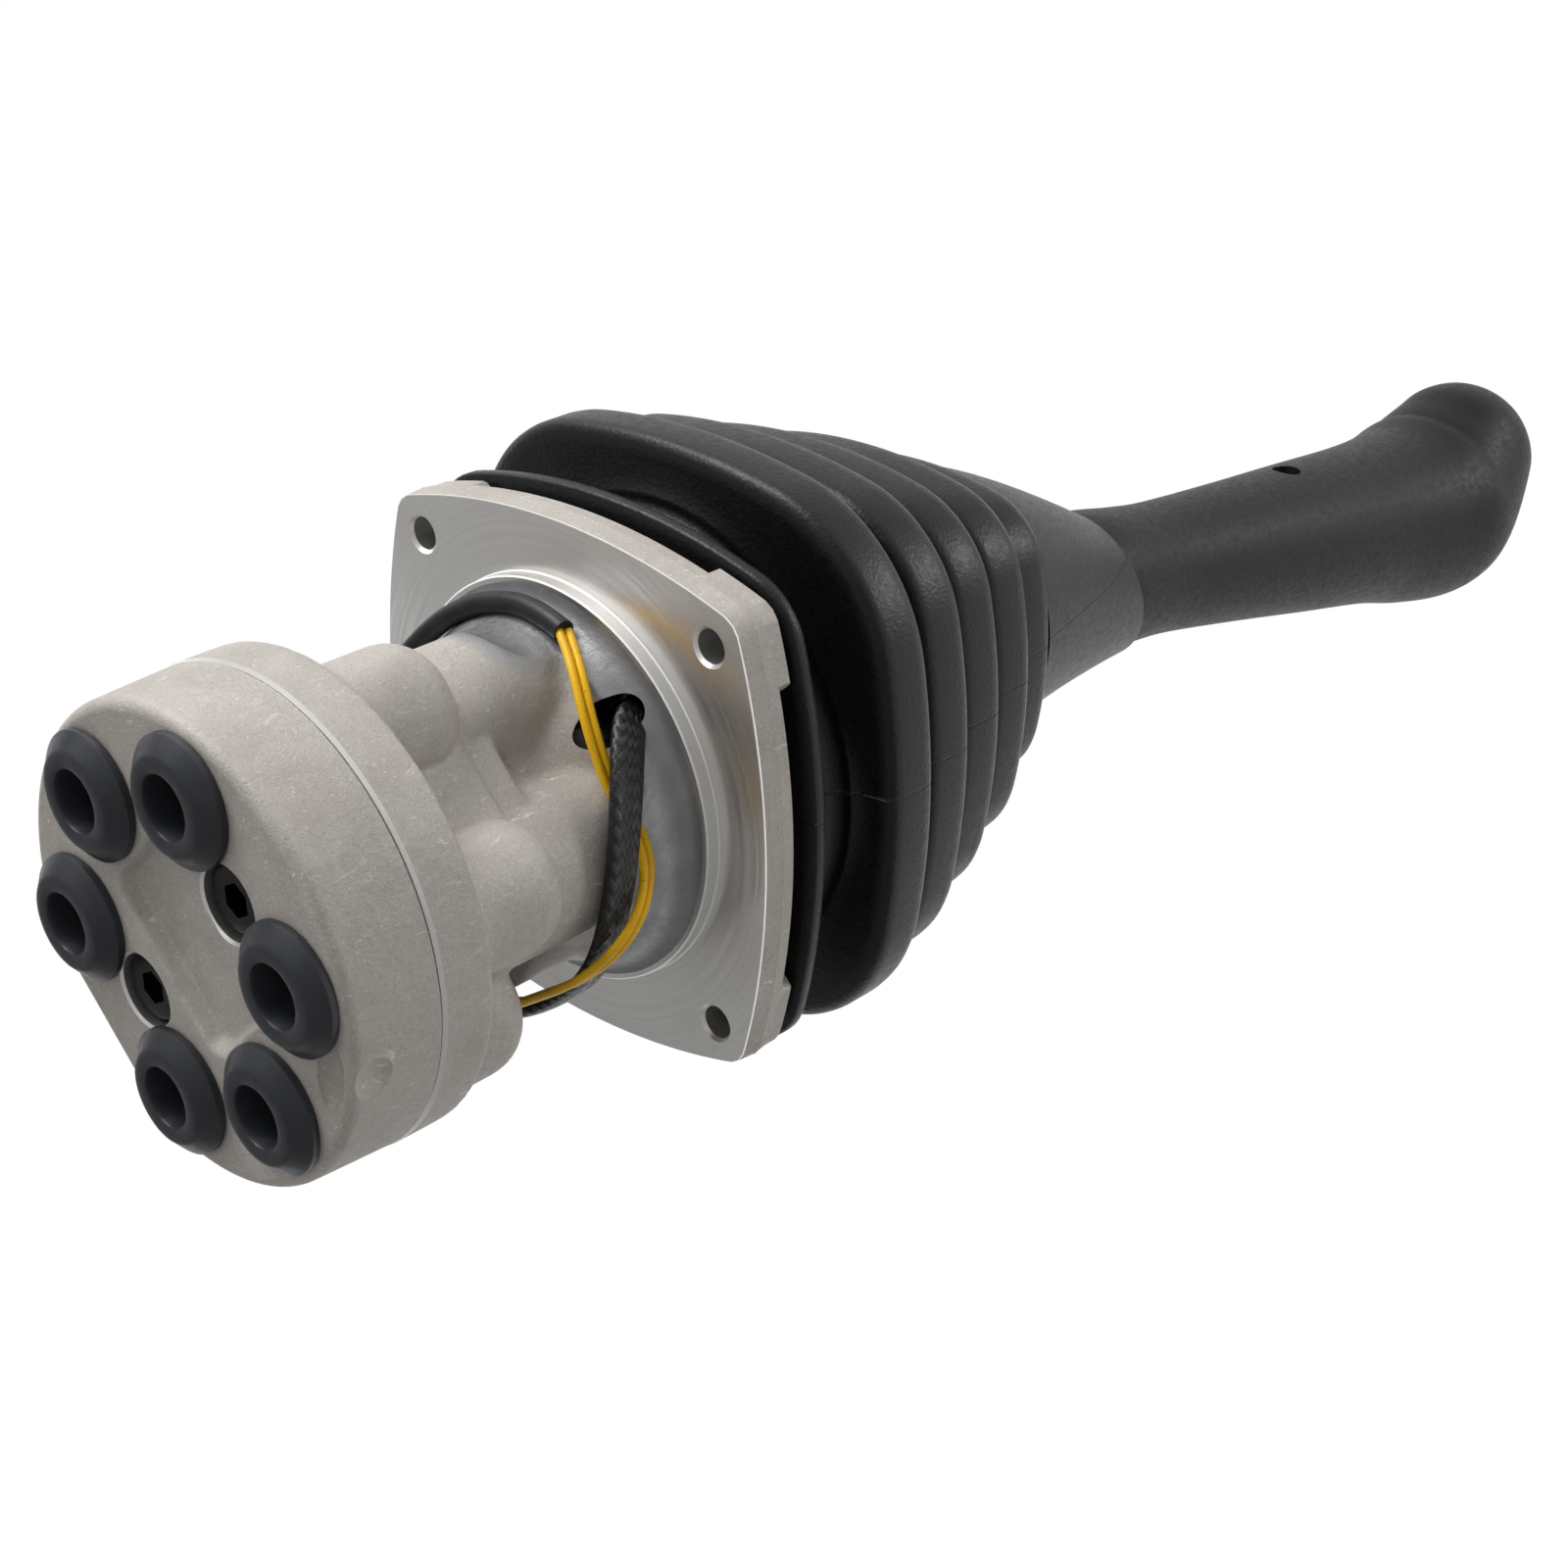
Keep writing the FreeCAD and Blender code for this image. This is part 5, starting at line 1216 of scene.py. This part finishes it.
@dataclass
class Boot:
    """Bellows boot in two stretches that meet in the valley above the second pleat."""

    lip_half: float = 54.8
    lip_side: float = 150.0
    lip_corner: float = 15.0
    seat: float = 11.0
    lip_low: float = 12.6
    lip_thickness: float = 3.0
    neck_radius: float = 46.5
    first: float = 36.0
    pitch: float = 17.0
    halves: tuple[float, ...] = (60.2, 55.1, 49.1, 43.2, 35.1)
    corners: tuple[float, ...] = (0.6, 0.54, 0.5, 0.5, 0.5)
    shift: Pair = (0.5, 1.0)
    bow: float = 2.7
    valley: float = 7.5
    fold: tuple[Pair, ...] = ((8.0, -7.2), (4.2, -7.1), (2.0, -6.8), (0.8, -6.1), (0.2, -5.1), (0.0, -3.9),
                              (0.0, 1.9), (0.2, 3.5), (0.8, 4.8), (2.0, 5.8), (4.0, 6.5), (6.4, 7.0))
    bead: tuple[Pair, ...] = ((0.2, 24.4), (0.8, 25.8), (1.9, 26.9), (3.0, 27.3), (3.7, 27.1), (4.2, 27.4))
    bead_low: float = 23.0
    inner_low: float = 26.0
    inner_share: Pair = (0.955, 0.955)
    wall: float = 2.2
    split: int = 2
    cone_radius: float = 32.0
    cone_steps: tuple[float, ...] = (0.0, 0.06, 0.14, 0.25, 0.4, 0.55, 0.7, 0.85, 0.97, 1.0)
    lean_power: float = 1.35
    mouth_height: float = 164.0
    mouth_radius: float = 19.3
    lean: float = 9.7
    bend: float = 104.0
    count: int = 192

    def section(self, index: int, half: float, z: float) -> np.ndarray:
        """Ring of a pleat at a half width."""
        radii = bowed(half, self.bow * half, self.corners[index] * half, angles(self.count))
        return ring(radii, z, self.shift)

    def circle(self, radius: float, z: float, centre: Pair = (0.0, 0.0), tilt: float = 0.0) -> np.ndarray:
        """Round ring, leaned with the lever."""
        return ring(np.full(self.count, radius), z, centre, tilt)

    def pleats(self, low: int, high: int) -> list[np.ndarray]:
        """Rings of the pleats from one number up to another."""
        rings = []
        for index in range(low, high):
            half = self.halves[index]
            level = self.first + self.pitch * index
            for inset, rise in self.fold:
                rings.append(self.section(index, half - inset, level + rise))
            if index < len(self.halves) - 1:
                half = self.halves[index + 1] - self.valley
                rings.append(self.section(index, half, level + 0.5 * self.pitch))
        return rings

    def lower(self) -> Object:
        """Lip, neck collar and the first two pleats."""
        turn = angles(self.count)
        low, top, seat = self.lip_low, self.lip_low + self.lip_thickness, self.seat
        full, cut = (bowed(self.lip_half - inset, self.lip_side, self.lip_corner, turn) for inset in (0.0, 0.5))
        neck, inside = self.neck_radius, self.neck_radius - self.wall - 0.9
        rings = [self.circle(inside, seat), self.circle(neck + 1.0, seat), self.circle(neck + 1.6, seat + 0.5)]
        rings += [ring(radii, z) for radii, z in (
            (cut - 3.0, low - 0.3), (cut, low), (full, low + 0.5), (full, top - 0.5), (cut, top))]
        rings += [self.circle(neck + out, z) for out, z in (
            (1.5, top), (0.4, top + 1.0), (0.0, top + 3), (0.0, self.bead_low), *self.bead)]
        lower = len(rings)
        rings += self.pleats(0, self.split)
        walls = [outer * np.array([*self.inner_share, 1.0]) for outer in rings[:lower - 1:-1]]
        rings += walls + [self.circle(inside, self.inner_low), self.circle(inside, seat)]
        return Bench.skin("boot_bellows_lower", np.array(rings), (False, False))

    def upper(self) -> Object:
        """Upper pleats and the cone that leans over to the grip."""
        rings = [self.section(self.split - 1, self.halves[self.split] - self.valley,
                              self.first + self.pitch * (self.split - 0.5))]
        rings += self.pleats(self.split, len(self.halves))
        start = self.first + self.pitch * (len(self.halves) - 0.5)
        lean_y = -math.tan(math.radians(self.lean)) * (self.mouth_height - self.bend)
        for share in self.cone_steps:
            radius = self.cone_radius + share * (self.mouth_radius - self.cone_radius)
            z = start + share * (self.mouth_height - start)
            over = share ** self.lean_power
            centre = (self.shift[0] * (1 - over), self.shift[1] * (1 - over) + lean_y * over)
            rings.append(self.circle(radius, z, centre, -over * self.lean))
        inner = []
        for outer in rings[::-1]:
            middle = outer.mean(0)
            away = outer - middle
            inner.append(middle + away * (1 - self.wall / np.linalg.norm(away, axis=1)[:, None]))
        return Bench.skin("boot_bellows_upper", np.array(rings + inner + rings[:1]), (False, False))

    def build(self) -> None:
        """Makes the boot's two stretches and dresses them."""
        rubber = Rubber("boot_rubber", (11, 11, 12), 0.4, 0.7, 0.07, (22, 22, 23), 0.3, 0.3, 176.0).make()
        lower, upper = self.lower(), self.upper()
        split = (self.first + self.pitch * (self.split - 0.5)) * MM
        for piece, node, bodies, low, high in (
                (lower, "boot_lower", (Body.VALVE, Body.CROSS), 0.026, split),
                (upper, "boot_upper", (Body.CROSS, Body.LEVER), split, 0.112)):
            Bench.smooth(piece, 60)
            Bench.dress(piece, rubber, "boot_rubber", [node], None)
            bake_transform(piece)


@dataclass
class Grip:
    """Moulded grip, its round head and the screw hole in its back."""

    heights: tuple[float, ...] = (158.0, 166.0, 180.0, 195.0, 225.0, 255.0, 285.0, 305.0)
    radii: tuple[float, ...] = (17.0, 17.3, 16.5, 16.3, 17.8, 19.7, 21.5, 23.9)
    lean: float = 9.7
    bend: float = 104.0
    head_y: float = -26.41
    head_z: float = 337.5
    head_radius: float = 21.4
    head_tilt: float = 43.0
    head_lower: tuple[tuple[float, ...], ...] = ((-35.61, 320.3, 25.9, 4.0), (-33.01, 330.0, 24.7, 20.0))
    cap_rings: tuple[float, ...] = (12.0, 32.0, 52.0, 70.0, 84.0, 90.0)
    screw_height: float = 248.0
    screw_hole: float = 3.7
    spot_height: float = 357.2
    spot_radius: float = 10.5
    switch_radius: float = 7.45
    switch_length: float = 20.0
    button_y: float = -29.01
    count: int = 128

    def axis(self, z: float) -> float:
        """Y of the leaned lever axis at a height."""
        return -math.tan(math.radians(self.lean)) * (z - self.bend)

    def build(self) -> None:
        """Makes the grip and cuts its bore, screw hole and switch seat."""
        keys = [(self.axis(z), z, r, -self.lean) for z, r in zip(self.heights, self.radii)]
        keys += list(self.head_lower)
        lean = math.radians(self.head_tilt)
        for step in self.cap_rings:
            out = self.head_radius * math.sin(math.radians(step))
            keys.append((self.head_y + out * math.sin(lean), self.head_z + out * math.cos(lean),
                         self.head_radius * math.cos(math.radians(step)), self.head_tilt))
        rows = eased(np.array(keys), 6)
        rows[:, 2] = np.maximum(rows[:, 2], 0.0)
        foot = rows[0].copy()
        rows[0, 2] -= 1.0
        foot[1] += 0.8
        rings = [ring(np.full(self.count, r), z, (0.0, y), -tilt)
                 for y, z, r, tilt in np.vstack([rows[:1], foot, rows[1:]])]
        body = Bench.skin("grip_moulding", np.array(rings), (True, False))
        out = Vector((0, math.cos(math.radians(self.lean)), math.sin(math.radians(self.lean))))
        place = Vector((0, self.axis(self.screw_height), self.screw_height))
        hole = Bench.cylinder("hole_tool", self.screw_hole, 11.5, 40, count=48)
        hole.matrix_world = Matrix.Translation(place * MM) @ out.to_track_quat("Z", "X").to_matrix().to_4x4()
        Bench.pick(hole)
        Bench.combine(body, Bench.settled("hole_tool"))
        spot, switch, wide = self.spot_height, self.switch_radius, self.spot_radius
        foot = spot - self.switch_length
        profile = [(0, foot), (switch, foot), (switch, spot), (wide, spot), (wide, spot + 20), (0, spot + 20)]
        Bench.combine(body, Bench.turned("spot_tool", profile, (0, self.button_y)))
        Bench.smooth(body, 40)
        Bench.flattened(body)
        plastic = Rubber("grip_plastic", (18, 18, 19), 0.5, 0.5, 0.012, (24, 23, 23), 0.3, 0.24).make()
        Bench.dress(body, plastic, "grip_plastic", ["grip"], Body.LEVER)


@dataclass
class Springs:
    """Return and metering springs of the four axes, as round wire."""

    rod_circle: float = 21.0
    seat_bottom: float = -17.5
    chamber_floor: float = -56.0
    collar_top: float = -37.5
    return_coil: Pair = (7.2, 0.95)
    meter_coil: Pair = (4.1, 0.7)
    fit: float = 0.25

    def coil(self, name: str, sizes: Pair, turns: float, low: float, high: float, place: Pair) -> Object:
        """Round wire wound between two heights."""
        radius, wire = sizes
        Bench.clear()
        bpy.ops.mesh.primitive_circle_add(vertices=12, radius=wire * MM, rotation=(math.pi / 2, 0, 0),
                                          location=(radius * MM, 0, (low + wire + self.fit) * MM))
        piece = Bench.settled(name)
        Bench.modify(piece, "SCREW", axis="Z", angle=2 * math.pi * turns, steps=int(24 * turns),
                     render_steps=int(24 * turns), screw_offset=(high - low - 2 * (wire + self.fit)) * MM,
                     use_merge_vertices=False)
        Bench.pick(piece)
        Bench.open_mesh()
        bpy.ops.mesh.fill_holes(sides=0)
        bpy.ops.mesh.normals_make_consistent(inside=False)
        bpy.ops.object.mode_set(mode="OBJECT")
        piece.data.transform(Matrix.Translation((place[0] * MM, place[1] * MM, 0)))
        Bench.smooth(piece, 50)
        return piece

    def build(self) -> None:
        """Makes the eight springs."""
        steel = PlainMetal("spring_steel", (120, 118, 116), 0.3).make()
        for number in range(1, 5):
            place = polar(self.rod_circle, 90 * (number - 1))
            name = f"return_coil_{number}"
            piece = self.coil(name, self.return_coil, 4, self.chamber_floor, self.seat_bottom, place)
            Bench.dress(piece, steel, "spring_steel", [f"return_spring_{number}"], None)
            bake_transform(piece)
            name = f"metering_coil_{number}"
            piece = self.coil(name, self.meter_coil, 4, self.collar_top, self.seat_bottom, place)
            Bench.dress(piece, steel, "spring_steel", [f"metering_spring_{number}"], None)
            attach(piece, f"pilot_{number}")
            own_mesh(piece)


@dataclass
class Hardware:
    """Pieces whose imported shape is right, given better finishes."""

    steel: tuple[str, ...] = ("joint_base", "joint_cross", "lever_yoke", "cam_disc", "cam_lock_nut",
                              "lever_adapter", "lever_tube", "retaining_plate", "locating_pin")
    ground: tuple[str, ...] = tuple(f"{part}_{number}" for part in ("push_rod", "spool", "spring_seat")
                                    for number in range(1, 5))
    seals: tuple[str, ...] = ("guide_bush_rings", "rod_seals", "port_block_seals")

    def build(self, nodes: dict[str, Object]) -> None:
        """Gives each carried-over node its finish.

        Args:
            nodes: The frame's nodes by name.
        """
        finishes = (
            (PlainMetal("machined_steel", (150, 148, 145), 0.34), self.steel),
            (PlainMetal("ground_steel", (178, 178, 180), 0.18), self.ground),
            (PlainMetal("bronze", (168, 128, 72), 0.32), ("guide_bushes",)),
            (PlainMetal("black_oxide_steel", (38, 38, 41), 0.34, 0.85), ("port_block_screws", "grip_screw")),
            (PlainMetal("tinned_copper", (196, 192, 184), 0.3), ("lead_wire_ends",)),
            (Rubber("seal_rubber", (22, 22, 23), 0.45, 0.6, 0.01), self.seals),
            (Rubber("switch_plastic", (30, 30, 32), 0.4, 0.5, 0.01), ("switch_body",)),
            (Rubber("button_plastic", (24, 24, 26), 0.3, 0.5, 0.008), ("push_button",)))
        for finish, names in finishes:
            material = finish.make()
            for name in names:
                nodes[name].data.materials.clear()
                nodes[name].data.materials.append(material)
                LOG.info("node %s: %s", name, finish.name)


def main() -> None:
    """Builds the scene around the frame."""
    logging.basicConfig(level=logging.INFO, format="%(message)s")
    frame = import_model()
    bpy.context.scene.view_settings.view_transform = "Standard"
    studio = Studio()
    studio.camera()
    Lead().build()
    studio.light()
    studio.floor()
    for assembly in (Casing(), PortBlock(), Plugs(), Boot(), Grip(), Springs()):
        assembly.build()
        LOG.info("built %s", type(assembly).__name__)
    Hardware().build(frame["nodes"])


if __name__ == "__main__":
    main()
